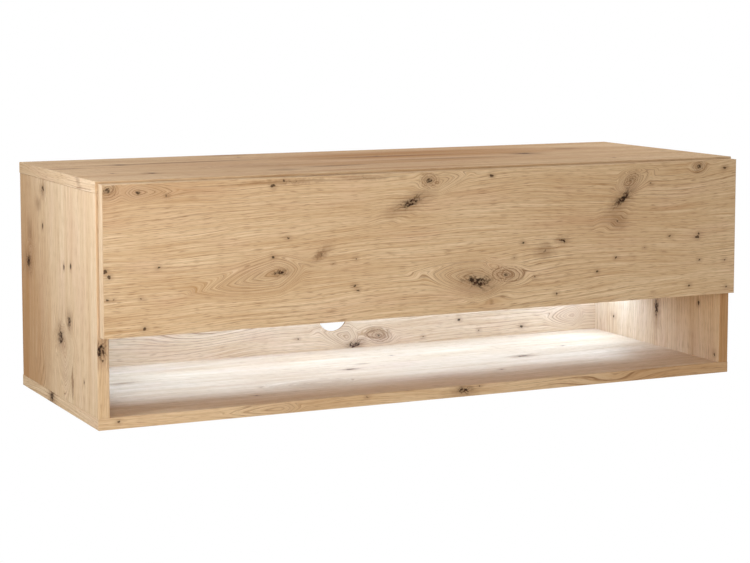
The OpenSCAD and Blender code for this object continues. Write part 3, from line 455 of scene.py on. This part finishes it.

    # Colours: from brown late wood to pale early wood, rosier where the quick wander is high, and browner
    # in the listed areas, partly as painted shade
    colour = add(tree, "ShaderNodeMix", {"Factor": tone, "A": rgb("#b3895c"), "B": rgb("#e6cba6")},
                 **RGBA)[2]
    rosy = add(tree, "ShaderNodeMapRange", {"Value": wander, "From Min": 0.5, "From Max": 0.72,
               "To Max": 0.22}, **SMOOTH)[0]
    # Browner areas, some of them painted shade where less light falls, made streaky along the bands
    brown_and_painted_shade = 0.0
    for (s_u, s_v, half_u, half_v, strength) in brown_areas_and_painted_shade:
        away = add(tree, "ShaderNodeVectorMath", {0: flat, 1: (s_u, s_v, 0)}, operation="SUBTRACT")[0]
        away = add(tree, "ShaderNodeVectorMath", {0: away, 1: (1 / half_u, 1 / half_v, 0)},
                   operation="MULTIPLY")[0]
        away = add(tree, "ShaderNodeVectorMath", {0: away}, operation="LENGTH")["Value"]
        area = add(tree, "ShaderNodeMapRange", {"Value": away, "From Min": 1.0, "From Max": 0.2,
                   "To Max": strength}, **SMOOTH)[0]
        brown_and_painted_shade = add(tree, "ShaderNodeMath", {0: area, 1: brown_and_painted_shade}, operation="MAXIMUM")[0]
    uneven = add(tree, "ShaderNodeMapRange", {"Value": layer["band"], "From Min": 0.36,
                 "From Max": 0.6, "To Min": 0.5})[0]
    brown_and_painted_shade = add(tree, "ShaderNodeMath", {0: brown_and_painted_shade, 1: uneven}, operation="MULTIPLY")[0]
    # Painted shade on faces that look forwards, by the front share
    brown_and_painted_shade = add(tree, "ShaderNodeMath", {0: facing["Y"], 1: front_painted_shade, 2: brown_and_painted_shade},
                 operation="MULTIPLY_ADD")[0]
    charred = add(tree, "ShaderNodeMapRange", {"Value": layer["char"], "From Min": 0.5,
                  "From Max": 0.62})[0]
    burnt = add(tree, "ShaderNodeMix", {"Factor": charred, "A": rgb("#251710"), "B": rgb("#4d3224")},
                **RGBA)[2]
    for factor, shade in ((rosy, rgb("#cba385")), (brown_and_painted_shade, rgb("#a26a31")), (lines, rgb("#7d5737")),
                          (pores, rgb("#8e6947")), (halo, rgb("#7c583a")), (dark, burnt)):
        colour = add(tree, "ShaderNodeMix", {"Factor": factor, "A": colour, "B": shade}, **RGBA)[2]
    shine = add(tree, "ShaderNodeMapRange", {"Value": layer["pore"], "From Min": 0.3, "From Max": 0.8,
                "To Min": 0.8, "To Max": 0.95})[0]
    relief = add(tree, "ShaderNodeBump", {"Height": layer["emboss"], "Strength": 0.3,
                 "Distance": 0.08 * MM}, invert=True)[0]
    face = add(tree, "ShaderNodeBsdfPrincipled", {"Base Color": colour, "Roughness": shine,
               "IOR": 1.5, "Specular IOR Level": 0.03, "Normal": relief})[0]
    if skin is None:
        add(tree, "ShaderNodeOutputMaterial", {"Surface": face})
        return material
    looking = facing[skin]
    if raw_back:
        looking = add(tree, "ShaderNodeVectorMath", {0: normal, 1: (0, -1, 0)},
                      operation="DOT_PRODUCT")["Value"]
    printed = add(tree, "ShaderNodeMath", {0: looking, 1: FACE_ON}, operation="GREATER_THAN")[0]
    raw = hardboard(tree, place) if raw_back else chipboard(tree, place)
    both = add(tree, "ShaderNodeMixShader", {0: printed, 1: raw, 2: face})
    add(tree, "ShaderNodeOutputMaterial", {"Surface": both[0]})
    return material


def chipboard(tree, place):
    """The raw core where a board is cut or bored: pressed wood chips of 1 to 3 mm, matt."""
    chips = add(tree, "ShaderNodeTexVoronoi", {"Vector": place, "Scale": 0.6})
    tone = add(tree, "ShaderNodeSeparateXYZ", {0: chips["Color"]})["X"]
    colour = add(tree, "ShaderNodeMix", {"Factor": tone, "A": rgb("#8d6c48"), "B": rgb("#c9a878")},
                 **RGBA)[2]
    relief = add(tree, "ShaderNodeBump", {"Height": tone, "Strength": 0.4, "Distance": 0.2 * MM})
    return add(tree, "ShaderNodeBsdfPrincipled", {"Base Color": colour, "Roughness": 0.85,
               "Specular IOR Level": 0.2, "Normal": relief[0]})[0]


def hardboard(tree, place):
    """The raw back of a thin board: pressed wood fibre, brown and faintly felted at 2 mm."""
    felt_place = add(tree, "ShaderNodeVectorMath", {0: place, 1: (1 / 6, 1, 1 / 2)},
                     operation="MULTIPLY")[0]
    felt = add(tree, "ShaderNodeTexNoise", {"Vector": felt_place, "Scale": 1.0, "Detail": 4.0,
               "Roughness": 0.7})[0]
    cloud = add(tree, "ShaderNodeTexNoise", {"Vector": place, "Scale": 1 / 90, "Detail": 2.0})[0]
    tone = add(tree, "ShaderNodeMath", {0: felt, 1: cloud}, operation="ADD")[0]
    tone = add(tree, "ShaderNodeMapRange", {"Value": tone, "From Min": 0.6, "From Max": 1.4})[0]
    colour = add(tree, "ShaderNodeMix", {"Factor": tone, "A": rgb("#8a6443"), "B": rgb("#b58d64")},
                 **RGBA)[2]
    relief = add(tree, "ShaderNodeBump", {"Height": felt, "Strength": 0.3, "Distance": 0.1 * MM})
    return add(tree, "ShaderNodeBsdfPrincipled", {"Base Color": colour, "Roughness": 0.8,
               "Specular IOR Level": 0.2, "Normal": relief[0]})[0]


def paint(node, material):
    """Puts a material on a CAD node that keeps its own shape."""
    for slot in nodes[node].material_slots:
        slot.material = material


paint("flap_panel", oak("oak_decor_flap", X, Z, FLAP_KNOTS, FLAP_DOTS, skin=Y, rise=0.03,
                        crisp=1.2, brown_areas_and_painted_shade=FLAP_BROWN_AND_PAINTED_SHADE))
paint("side_panel_left", oak("oak_decor_left_side", Z, Y, SIDE_LEFT_KNOTS, SIDE_LEFT_DOTS, skin=X,
                             brown_areas_and_painted_shade=SIDE_LEFT_PAINTED_SHADE))
paint("side_panel_right", oak("oak_decor_right_side", Z, Y, SIDE_RIGHT_KNOTS, SIDE_RIGHT_DOTS, skin=X))
paint("top_panel", oak("oak_decor_top", X, Y, TOP_KNOTS, TOP_DOTS, skin=Z, bold=1.9, crisp=1.4,
                       brown_areas_and_painted_shade=TOP_SHADES))
paint("bottom_panel", oak("oak_decor_bottom", X, Y, FLOOR_KNOTS, FLOOR_DOTS, skin=Z))
paint("middle_shelf", oak("oak_decor_shelf", X, Y, SHELF_KNOTS, SHELF_DOTS, skin=Z))
paint("back_panel", oak("oak_decor_back", X, Z, BACK_KNOTS, BACK_DOTS, skin=Y, raw_back=True))
# The top's edge band gets a little painted shade on its front, as for the gap above the flap
paint("top_edge_bands", oak("oak_band_top", X, Z, [("smudge", 1715, 159, 24, 12, 30)], ends=(X, Y),
                            front_painted_shade=0.08))
paint("bottom_edge_bands", oak("oak_band_bottom", X, Z, BOTTOM_BAND_KNOTS, BOTTOM_BAND_DOTS,
                               ends=(X, Y), brown_areas_and_painted_shade=BOTTOM_BAND_SHADES))
paint("side_edge_band_left", oak("oak_band_left", Z, X, [("star", -59, -496, 36, 27, 0)], [(-72, -493, 4)]))
# The right side's front edge gets strong painted shade, as for its shadow under the flap's edge
paint("side_edge_band_right", oak("oak_band_right", Z, X, front_painted_shade=0.6))
paint("shelf_edge_band", oak("oak_band_shelf", X, Z))
# The streak on the flap's top edge band is partly a dark streak of the decor and partly painted shade of
# the gap under the top panel's front edge
paint("flap_edge_bands", oak("oak_band_flap", X, Y, [("streak", -170, -369, 130, 8, 0)], ends=(X, Z)))


# Finishes of the fittings

def metal_finish(name, low, high, cloud, gloss, scratch, metallic=1.0):
    """A metal finish that varies between two colours in clouds of a size in mm, with fine
    scratches or a rolled grain along an axis (their size in mm along X, Y and Z)."""
    material, tree, place = new_material(name)
    mist = add(tree, "ShaderNodeTexNoise", {"Vector": place, "Scale": 1 / (cloud * MM), "Detail": 3.0})[0]
    colour = add(tree, "ShaderNodeMix", {"Factor": mist, "A": rgb(low), "B": rgb(high)}, **RGBA)[2]
    fine_place = add(tree, "ShaderNodeVectorMath", {0: place, 1: [1 / (s * MM) for s in scratch]},
                     operation="MULTIPLY")[0]
    fine = add(tree, "ShaderNodeTexNoise", {"Vector": fine_place, "Scale": 1.0, "Detail": 2.0})[0]
    rough = add(tree, "ShaderNodeMapRange", {"Value": fine, "From Min": 0.3, "From Max": 0.7,
                "To Min": gloss[0], "To Max": gloss[1]})[0]
    relief = add(tree, "ShaderNodeBump", {"Height": fine, "Strength": 0.25, "Distance": 0.02 * MM})[0]
    face = add(tree, "ShaderNodeBsdfPrincipled", {"Base Color": colour, "Metallic": metallic,
               "Roughness": rough, "Normal": relief})[0]
    add(tree, "ShaderNodeOutputMaterial", {"Surface": face})
    return material


def galvanised_steel():
    """Hot-dip zinc on the hangers: crystal spangles a few mm across, duller and greyer than plate."""
    material, tree, place = new_material("galvanised_steel")
    spangle = add(tree, "ShaderNodeTexVoronoi", {"Vector": place, "Scale": 1 / (5 * MM)})
    tone = add(tree, "ShaderNodeSeparateXYZ", {0: spangle["Color"]})["X"]
    colour = add(tree, "ShaderNodeMix", {"Factor": tone, "A": rgb("#a9adb0"), "B": rgb("#c8cbcd")},
                 **RGBA)[2]
    rough = add(tree, "ShaderNodeMapRange", {"Value": tone, "To Min": 0.34, "To Max": 0.52})[0]
    face = add(tree, "ShaderNodeBsdfPrincipled", {"Base Color": colour, "Metallic": 1.0,
               "Roughness": rough})[0]
    add(tree, "ShaderNodeOutputMaterial", {"Surface": face})
    return material


def moulded_plastic(name, low, high, texture, gloss, depth):
    """Moulded plastic with a sparked mould texture: an even colour whose fine grain breaks the shine."""
    material, tree, place = new_material(name)
    grain = add(tree, "ShaderNodeTexNoise", {"Vector": place, "Scale": 1 / (texture * MM),
                "Detail": 2.0})[0]
    colour = add(tree, "ShaderNodeMix", {"Factor": grain, "A": rgb(low), "B": rgb(high)}, **RGBA)[2]
    rough = add(tree, "ShaderNodeMapRange", {"Value": grain, "To Min": gloss[0], "To Max": gloss[1]})[0]
    relief = add(tree, "ShaderNodeBump", {"Height": grain, "Strength": 0.4, "Distance": depth * MM})[0]
    face = add(tree, "ShaderNodeBsdfPrincipled", {"Base Color": colour, "Roughness": rough,
               "IOR": 1.53, "Normal": relief})[0]
    add(tree, "ShaderNodeOutputMaterial", {"Surface": face})
    return material


def clear_polyurethane():
    """Cast clear pads: soft, slightly cloudy and glossy, so they read as pale drops on the edge."""
    material, tree, place = new_material("clear_polyurethane")
    haze = add(tree, "ShaderNodeTexNoise", {"Vector": place, "Scale": 1 / (2 * MM)})[0]
    colour = add(tree, "ShaderNodeMix", {"Factor": haze, "A": rgb("#e4e8e6"), "B": rgb("#f7f8f6")},
                 **RGBA)[2]
    rough = add(tree, "ShaderNodeMapRange", {"Value": haze, "To Min": 0.12, "To Max": 0.3})[0]
    face = add(tree, "ShaderNodeBsdfPrincipled", {"Base Color": colour, "Roughness": rough,
               "IOR": 1.5, "Transmission Weight": 0.8})[0]
    add(tree, "ShaderNodeOutputMaterial", {"Surface": face})
    return material


def beech():
    """Fine pale beech for the dowels, with its short brown flecks 3 mm long."""
    material, tree, place = new_material("beech")
    fleck_place = add(tree, "ShaderNodeVectorMath", {0: place, 1: [1 / (s * MM) for s in (3, 0.8, 0.8)]},
                      operation="MULTIPLY")[0]
    fleck = add(tree, "ShaderNodeTexNoise", {"Vector": fleck_place, "Scale": 1.0, "Detail": 2.0})[0]
    colour = add(tree, "ShaderNodeMix", {"Factor": fleck, "A": rgb("#b98f66"), "B": rgb("#e6c9a4")},
                 **RGBA)[2]
    relief = add(tree, "ShaderNodeBump", {"Height": fleck, "Strength": 0.3, "Distance": 0.05 * MM})
    face = add(tree, "ShaderNodeBsdfPrincipled", {"Base Color": colour, "Roughness": 0.65,
               "Normal": relief[0]})[0]
    add(tree, "ShaderNodeOutputMaterial", {"Surface": face})
    return material


# Distance between the light strip's diodes, in mm
DIODE_PITCH = 16.6


def opal_polycarbonate():
    """The light strip's milky cover: it glows evenly in cool white, a little brighter over each diode."""
    material, tree, place = new_material("opal_polycarbonate")
    x = add(tree, "ShaderNodeSeparateXYZ", {0: place})["X"]
    turn = add(tree, "ShaderNodeMath", {0: x, 1: 2 * math.pi / (DIODE_PITCH * MM)}, operation="MULTIPLY")[0]
    wave = add(tree, "ShaderNodeMath", {0: turn}, operation="COSINE")[0]
    glow = add(tree, "ShaderNodeMapRange", {"Value": wave, "From Min": -1, "To Min": 0.85,
               "To Max": 1.0})[0]
    face = add(tree, "ShaderNodeBsdfPrincipled", {"Base Color": rgb("#eef1f2"), "Roughness": 0.4,
               "IOR": 1.58, "Emission Color": rgb("#e6f0ff"), "Emission Strength": glow})[0]
    add(tree, "ShaderNodeOutputMaterial", {"Surface": face})
    return material


# Nickel plate on the hinges: warm and shiny, with fine scratches from front to back
NICKEL = metal_finish("nickel_plated_steel", "#b9b5ad", "#d6d3cc", 12, (0.2, 0.34), (0.4, 9, 0.4))
# The stays' coat: an even, silky grey that hides the steel
GREY_COAT = metal_finish("grey_coated_steel", "#85898c", "#94989b", 20, (0.4, 0.5), (0.9, 0.9, 0.9),
                         metallic=0.35)
# Zinc plate on the screws and cams: bright, clouded from bluish to yellowish
ZINC = metal_finish("zinc_plated_steel", "#b3bcc4", "#cfccc2", 3, (0.25, 0.45), (0.5, 0.5, 0.5))
# Anodised aluminium: satin, with drawn lines along the profile
ALUMINIUM = metal_finish("anodised_aluminium", "#c3c5c6", "#d3d4d5", 30, (0.3, 0.42), (14, 0.3, 0.3))
# Stay knobs and hanger casings are dull grey ABS, and the light's tape has a smooth white mask
FINISHES = {
    "bumper": clear_polyurethane(), "hinge_steel": NICKEL, "stay_steel": GREY_COAT, "zinc": ZINC,
    "grey_plastic": moulded_plastic("moulded_abs_grey", "#85898b", "#92969a", 0.5, (0.42, 0.6), 0.03),
    "hanger_steel": galvanised_steel(), "beech": beech(), "light_aluminium": ALUMINIUM,
    "light_tape": moulded_plastic("white_solder_mask", "#dcdcd6", "#ecece6", 0.4, (0.3, 0.45), 0.01),
    "light_diffuser": opal_polycarbonate(),
}
for node, slot in slot_of_node.items():
    if slot in FINISHES:
        paint(node, FINISHES[slot])


# Fittings made here from the frame's own sizes

# Corners this close, in metres, are one
SAME_CORNER = 1e-6
# Edges of the pressed and moulded fittings that turn by more than this, in degrees, are broken,
# and faces that turn by less than FLAT_TURN are one
SHARP_TURN = 35
FLAT_TURN = 2


def merged(node):
    """A CAD node's mesh with its loose triangles joined."""
    mesh = bmesh.new()
    mesh.from_mesh(nodes[node].data)
    bmesh.ops.remove_doubles(mesh, verts=mesh.verts, dist=SAME_CORNER)
    return mesh


def solids_of(node):
    """The corners of each separate solid of a CAD node, as lists of places in metres."""
    mesh = merged(node)
    seen, found = set(), []
    for start in mesh.verts:
        if start in seen:
            continue
        seen.add(start)
        front, places = [start], []
        while front:
            corner = front.pop()
            places.append(corner.co.copy())
            for edge in corner.link_edges:
                other = edge.other_vert(corner)
                if other not in seen:
                    seen.add(other)
                    front.append(other)
        found.append(places)
    mesh.free()
    return found


def low_high(places):
    """The lowest and highest corner round some places."""
    return (Vector([min(p[k] for p in places) for k in range(3)]),
            Vector([max(p[k] for p in places) for k in range(3)]))


def new_piece(name, mesh):
    """A scene object for a bmesh, at the origin."""
    data = bpy.data.meshes.new(name)
    mesh.to_mesh(data)
    mesh.free()
    piece = bpy.data.objects.new(name, data)
    scene.collection.objects.link(piece)
    return piece


def stand_for(piece, sharp, *members):
    """Shades a piece smooth but for edges that turn by more than an angle in degrees, hangs it from
    the body of the CAD nodes that it stands for, and hides those nodes."""
    piece.data.shade_smooth()
    piece.data.set_sharp_from_angle(angle=math.radians(sharp))
    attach(piece, body_of_node[members[0]])
    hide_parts(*members)


def applied(piece):
    """Works a piece's modifiers into a plain mesh."""
    graph = bpy.context.evaluated_depsgraph_get()
    made = bpy.data.meshes.new_from_object(piece.evaluated_get(graph))
    piece.modifiers.clear()
    piece.data = made


def softened(node, radius):
    """A CAD fitting with its edges broken by a small radius in mm, as pressed and moulded ones are."""
    mesh = merged(node)
    bmesh.ops.dissolve_limit(mesh, angle_limit=math.radians(FLAT_TURN), verts=mesh.verts, edges=mesh.edges)
    piece = new_piece(node + "_soft", mesh)
    bevel = piece.modifiers.new("edges", "BEVEL")
    bevel.width = radius * MM
    bevel.segments = 2
    bevel.limit_method = "ANGLE"
    bevel.angle_limit = math.radians(SHARP_TURN)
    applied(piece)
    piece.data.materials.clear()
    piece.data.materials.append(FINISHES[slot_of_node[node]])
    stand_for(piece, SHARP_TURN, node)


def set_out_tree():
    """Sets a piece out on points: turned by each point's own turn, spun by chance, one finish."""
    tree = bpy.data.node_groups.new("set_out", "GeometryNodeTree")
    for name, kind in (("Places", "Geometry"), ("Piece", "Object"), ("Most Spin", "Float"),
                       ("Seed", "Int"), ("Finish", "Material")):
        tree.interface.new_socket(name, in_out="INPUT", socket_type="NodeSocket" + kind)
    tree.interface.new_socket("Pieces", in_out="OUTPUT", socket_type="NodeSocketGeometry")
    given = add(tree, "NodeGroupInput")
    source = add(tree, "GeometryNodeObjectInfo", {"Object": given["Piece"]})["Geometry"]
    turn = add(tree, "GeometryNodeInputNamedAttribute", {"Name": "turn"}, data_type="FLOAT_VECTOR")
    placed = add(tree, "GeometryNodeInstanceOnPoints", {"Points": given["Places"], "Instance": source,
                 "Rotation": turn[0]})["Instances"]
    spin = add(tree, "FunctionNodeRandomValue", {"Max": given["Most Spin"], "Seed": given["Seed"]},
               data_type="FLOAT")
    about = add(tree, "ShaderNodeCombineXYZ", {"Z": spin[1]})[0]
    spun = add(tree, "GeometryNodeRotateInstances", {"Instances": placed, "Rotation": about})[0]
    real = add(tree, "GeometryNodeRealizeInstances", {0: spun})[0]
    finished = add(tree, "GeometryNodeSetMaterial", {"Geometry": real, "Material": given["Finish"]})[0]
    add(tree, "NodeGroupOutput", {"Pieces": finished})
    return tree


SET_OUT = set_out_tree()


def set_out(name, piece, spots, finish, most_spin=0.0, seed=1):
    """Copies of a piece at spots, each a (place, direction of the piece's top), as one plain mesh."""
    data = bpy.data.meshes.new(name)
    data.from_pydata([place for place, up in spots], [], [])
    turns = data.attributes.new("turn", "FLOAT_VECTOR", "POINT")
    for k, (place, up) in enumerate(spots):
        turns.data[k].vector = Vector(up).to_track_quat("Z", "Y").to_euler()
    row = bpy.data.objects.new(name, data)
    scene.collection.objects.link(row)
    maker = row.modifiers.new("set_out", "NODES")
    maker.node_group = SET_OUT
    values = {"Piece": piece, "Most Spin": most_spin, "Seed": seed, "Finish": finish}
    for socket in SET_OUT.interface.items_tree:
        if socket.in_out == "INPUT" and socket.name in values:
            maker[socket.identifier] = values[socket.name]
    applied(row)
    bpy.data.objects.remove(piece)
    return row


def cut(piece, tool):
    """Takes one piece's shape out of another."""
    bite = piece.modifiers.new("cut", "BOOLEAN")
    bite.operation = "DIFFERENCE"
    bite.object = tool
    bite.solver = "EXACT"
    applied(piece)
    bpy.data.objects.remove(tool)


CORNERS = [(-1, -1), (1, -1), (1, 1), (-1, 1)]


def cross_tool(reach, wide, deep):
    """The point of a cross-head driver, its top just above z = 0: four tapered wings."""
    mesh = bmesh.new()
    low_reach, low_wide = reach * 0.45, wide * 0.7
    for along, over, low_along, low_over in ((reach, wide, low_reach, low_wide),
                                             (wide, reach, low_wide, low_reach)):
        top = [mesh.verts.new((x * along, y * over, 0.2 * MM)) for x, y in CORNERS]
        foot = [mesh.verts.new((x * low_along, y * low_over, -deep)) for x, y in CORNERS]
        mesh.faces.new(top)
        mesh.faces.new(foot[::-1])
        for k in range(4):
            mesh.faces.new((foot[k], foot[(k + 1) % 4], top[(k + 1) % 4], top[k]))
    return new_piece("driver_point", mesh)


# Sides of a screw or a pad, and rows of corners in one turn of a thread and in a pad's dome
ROUND_SIDES = 24
ROWS_A_TURN = 4
DOME_ROWS = 8
# Radius of a thread's root, and how far its crest stands out, as shares of the shank's radius
THREAD_ROOT = 0.7
THREAD_CREST = 0.3
# Thickness of the fittings' screw heads, in metres
HEAD_T = 1 * MM


def lathed(mesh, profile):
    """A ring of corners round Z for each (radius, height) of a profile."""
    turns = [2 * math.pi * k / ROUND_SIDES for k in range(ROUND_SIDES)]
    return [[mesh.verts.new((r * math.cos(t), r * math.sin(t), z)) for t in turns] for r, z in profile]


def screw_piece(head_d, head_t, shank_d, length, pitch):
    """A domed cross-head wood screw, head up, its top at z = 0 and its thread a true helix."""
    mesh = bmesh.new()
    head_r, shank_r = head_d / 2, shank_d / 2
    thread_rows = round((length - head_t) / pitch * ROWS_A_TURN)
    # The head is a dome over a straight rim
    profile = [(head_r * math.sin(a), head_t * 0.55 * (math.cos(a) - 1))
               for a in (math.radians(15 * k) for k in range(1, 7))]
    profile += [(head_r, -head_t * 0.85), (head_r * 0.96, -head_t), (shank_r, -head_t)]
    rings = lathed(mesh, profile)
    for row in range(1, thread_rows + 1):
        z = -head_t - (length - head_t) * row / thread_rows
        to_tip = (thread_rows - row) / ROWS_A_TURN
        ring = []
        for k in range(ROUND_SIDES):
            phase = (-z / pitch - k / ROUND_SIDES) % 1
            crest = 1 - min(1, 3 * min(phase, 1 - phase))
            radius = shank_r * (THREAD_ROOT + THREAD_CREST * crest) * min(1, 0.35 + 0.4 * to_tip)
            angle = 2 * math.pi * k / ROUND_SIDES
            ring.append(mesh.verts.new((radius * math.cos(angle), radius * math.sin(angle), z)))
        rings.append(ring)
    top = mesh.verts.new((0, 0, 0))
    tip = mesh.verts.new((0, 0, -length))
    for k in range(ROUND_SIDES):
        nxt = (k + 1) % ROUND_SIDES
        mesh.faces.new((top, rings[0][k], rings[0][nxt]))
        mesh.faces.new((tip, rings[-1][nxt], rings[-1][k]))
        for upper, lower in zip(rings, rings[1:]):
            mesh.faces.new((upper[k], lower[k], lower[nxt], upper[nxt]))
    screw = new_piece("screw", mesh)
    cut(screw, cross_tool(head_r * 0.55, head_r * 0.11, head_t * 0.8))
    return screw


def real_screws(node, pitch):
    """Stands cross-head screws with a thread's pitch in mm in for a CAD group of screws, each where
    its solid is."""
    spots, sizes = [], None
    for places in solids_of(node):
        low, high = low_high(places)
        size = high - low
        axis = max(range(3), key=lambda k: abs(size[k] - sorted(size)[1]))
        middle = (low + high) / 2
        flat = [k for k in range(3) if k != axis]

        def radius_at(level):
            return max((Vector([p[k] - middle[k] for k in flat]).length for p in places
                        if abs(p[axis] - level) < 0.01 * MM))

        head_is_high = radius_at(high[axis]) > radius_at(low[axis])
        up = Vector((0, 0, 0))
        up[axis] = 1 if head_is_high else -1
        top = middle.copy()
        top[axis] = high[axis] if head_is_high else low[axis]
        tip_radius = radius_at(low[axis] if head_is_high else high[axis])
        spots.append((top, up))
        sizes = (size[flat[0]], HEAD_T, 2 * tip_radius, size[axis])
    screw = screw_piece(*sizes, pitch * MM)
    row = set_out(node + "_set", screw, spots, FINISHES[slot_of_node[node]], most_spin=2 * math.pi, seed=7)
    stand_for(row, 40, node)


for node, pitch in (("hinge_plate_screws", 2.2), ("hinge_adjusting_screws", 0.8),
                    ("hinge_cup_screws", 1.6), ("stay_base_screws", 1.8),
                    ("flap_bracket_screws", 1.8), ("hanger_screws", 2.2)):
    real_screws(node, pitch)


def domed_bumpers():
    """Four clear pads: a flat glued face and a low dome towards the flap."""
    spots = []
    for places in solids_of("flap_bumpers"):
        low, high = low_high(places)
        spots.append((Vector(((low.x + high.x) / 2, high.y, (low.z + high.z) / 2)), (0, -1, 0)))
    radius, tall = (high.x - low.x) / 2, high.y - low.y
    mesh = bmesh.new()
    # The dome stands on a straight rim, a quarter of the pad's height
    profile = [(radius * math.cos(a) ** 0.6, tall * (0.25 + 0.75 * math.sin(a)))
               for a in (math.pi / 2 * k / DOME_ROWS for k in range(DOME_ROWS))]
    profile.insert(0, (radius * 0.97, 0))
    rings = lathed(mesh, profile)
    crown = mesh.verts.new((0, 0, tall))
    mesh.faces.new(rings[0][::-1])
    for k in range(ROUND_SIDES):
        nxt = (k + 1) % ROUND_SIDES
        mesh.faces.new((rings[-1][k], rings[-1][nxt], crown))
        for lower, upper in zip(rings, rings[1:]):
            mesh.faces.new((lower[k], lower[nxt], upper[nxt], upper[k]))
    pads = set_out("domed_bumpers", new_piece("pad", mesh), spots, FINISHES["bumper"])
    stand_for(pads, 50, "flap_bumpers")


domed_bumpers()
for node, radius in (("hinge_plate", 0.35), ("hinge_arm", 0.35), ("hinge_cup", 0.25), ("hinge_link", 0.3),
                     ("flap_bracket", 0.4), ("stay_base", 0.3), ("stay_arm", 0.4), ("stay_link", 0.4),
                     ("stay_knob", 0.5), ("hanger_casing", 0.8), ("hanger_hook", 0.3), ("wall_plate", 0.3)):
    for side in ("_left", "_right"):
        softened(node + side, radius)


# Studio: a white ground, a pale floor well below the cabinet, and soft lamps

FLOOR_Z = -0.75
FLOOR_HALF = 30
# Strength of the light round the horizon and overhead
AMBIENT = 0.15
ZENITH = 0.8


def white_world():
    """Soft light all round, stronger from above, and white where a ray looks straight at it."""
    world = bpy.data.worlds.new("studio")
    world.use_nodes = True
    tree = world.node_tree
    tree.nodes.clear()
    path = add(tree, "ShaderNodeLightPath")
    seen = add(tree, "ShaderNodeMath", {0: path["Is Camera Ray"], 1: path["Is Glossy Ray"]},
               operation="MAXIMUM")[0]
    seen = add(tree, "ShaderNodeMath", {0: seen, 1: path["Is Transmission Ray"]}, operation="MAXIMUM")[0]
    way = add(tree, "ShaderNodeTexCoord")["Generated"]
    height = add(tree, "ShaderNodeSeparateXYZ", {0: way})["Z"]
    sky = add(tree, "ShaderNodeMapRange", {"Value": height, "To Min": AMBIENT, "To Max": ZENITH})[0]
    strength = add(tree, "ShaderNodeMix", {"Factor": seen, "A": sky, "B": 1.0})[0]
    ground = add(tree, "ShaderNodeBackground", {"Color": (1, 1, 1, 1), "Strength": strength})[0]
    add(tree, "ShaderNodeOutputWorld", {"Surface": ground})
    scene.world = world


def pale_floor():
    """A matt white floor that keeps a soft shadow near the cabinet and runs out to plain white. Its
    underside is see-through, so that the cabinet shows in a view from below."""
    mesh = bpy.data.meshes.new("floor")
    mesh.from_pydata([(x * FLOOR_HALF, y * FLOOR_HALF, FLOOR_Z) for x, y in CORNERS], [], [(0, 1, 2, 3)])
    floor = bpy.data.objects.new("floor", mesh)
    scene.collection.objects.link(floor)
    material, tree, place = new_material("matt_white_floor")
    away = add(tree, "ShaderNodeVectorMath", {0: place, 1: (0, 0, FLOOR_Z)}, operation="DISTANCE")
    far = add(tree, "ShaderNodeMapRange", {"Value": away["Value"], "From Min": 0.4,
              "From Max": 1.0}, **SMOOTH)[0]
    path = add(tree, "ShaderNodeLightPath")
    seen = add(tree, "ShaderNodeMath", {0: path["Is Camera Ray"], 1: path["Is Glossy Ray"]},
               operation="MAXIMUM")[0]
    white = add(tree, "ShaderNodeMath", {0: far, 1: seen}, operation="MULTIPLY")[0]
    matt = add(tree, "ShaderNodeBsdfDiffuse", {"Color": rgb("#f2f2f0")})[0]
    glow = add(tree, "ShaderNodeEmission", {"Color": (1, 1, 1, 1), "Strength": 1.0})[0]
    both = add(tree, "ShaderNodeMixShader", {0: white, 1: matt, 2: glow})[0]
    under = add(tree, "ShaderNodeNewGeometry")["Backfacing"]
    clear = add(tree, "ShaderNodeBsdfTransparent")[0]
    both = add(tree, "ShaderNodeMixShader", {0: under, 1: both, 2: clear})[0]
    add(tree, "ShaderNodeOutputMaterial", {"Surface": both})
    mesh.materials.append(material)


def soft_lamp(name, place, target, size, power, colour="#ffffff", spread=180):
    """A soft box of a width and a height that looks from place to target, its light fanning out by
    a spread in degrees."""
    data = bpy.data.lights.new(name, "AREA")
    data.shape = "RECTANGLE"
    data.size, data.size_y = size
    data.spread = math.radians(spread)
    data.energy = power
    data.color = rgb(colour)[:3]
    lamp = bpy.data.objects.new(name, data)
    lamp.location = place
    lamp.rotation_mode = "QUATERNION"
    lamp.rotation_quaternion = (Vector(target) - Vector(place)).to_track_quat("-Z", "Y")
    lamp.visible_camera = False
    scene.collection.objects.link(lamp)


white_world()
pale_floor()
soft_lamp("key", (-0.9, -1.7, 0.3), (-0.1, -0.2, 0.0), (0.7, 0.7), 13)
soft_lamp("left_fill", (-0.95, -0.42, 0.3), (-0.5, -0.3, 0.05), (0.2, 0.2), 3.3, "#d2e4ff")
soft_lamp("right_fill", (1.3, 1.2, 1.1), (0.3, -0.1, 0.1), (0.8, 0.8), 17)
soft_lamp("back_fill", (0.6, 2.6, 0.5), (0.0, 0.0, 0.0), (1.4, 1.0), 30)
# The light strip, just under its profile: a wide wash over the niche, the clear-edged pool on its
# floor, and the glow on its right wall. The middle, size, power and spread of each
strip_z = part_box("light_diffuser")[0][2] - 2 * MM
for name, x, y, size, power, spread in (("strip", 0.0, -0.105, (0.84, 0.17), 2.25, 180),
                                        ("strip_pool", -0.03, -0.14, (0.84, 0.261), 0.87, 60),
                                        ("strip_end", 0.435, -0.07, (0.06, 0.1), 0.33, 180)):
    soft_lamp(name, (x, y, strip_z), (x, y, -1.0), size, power, "#a0c8ff", spread)
scene.view_settings.view_transform = "Standard"
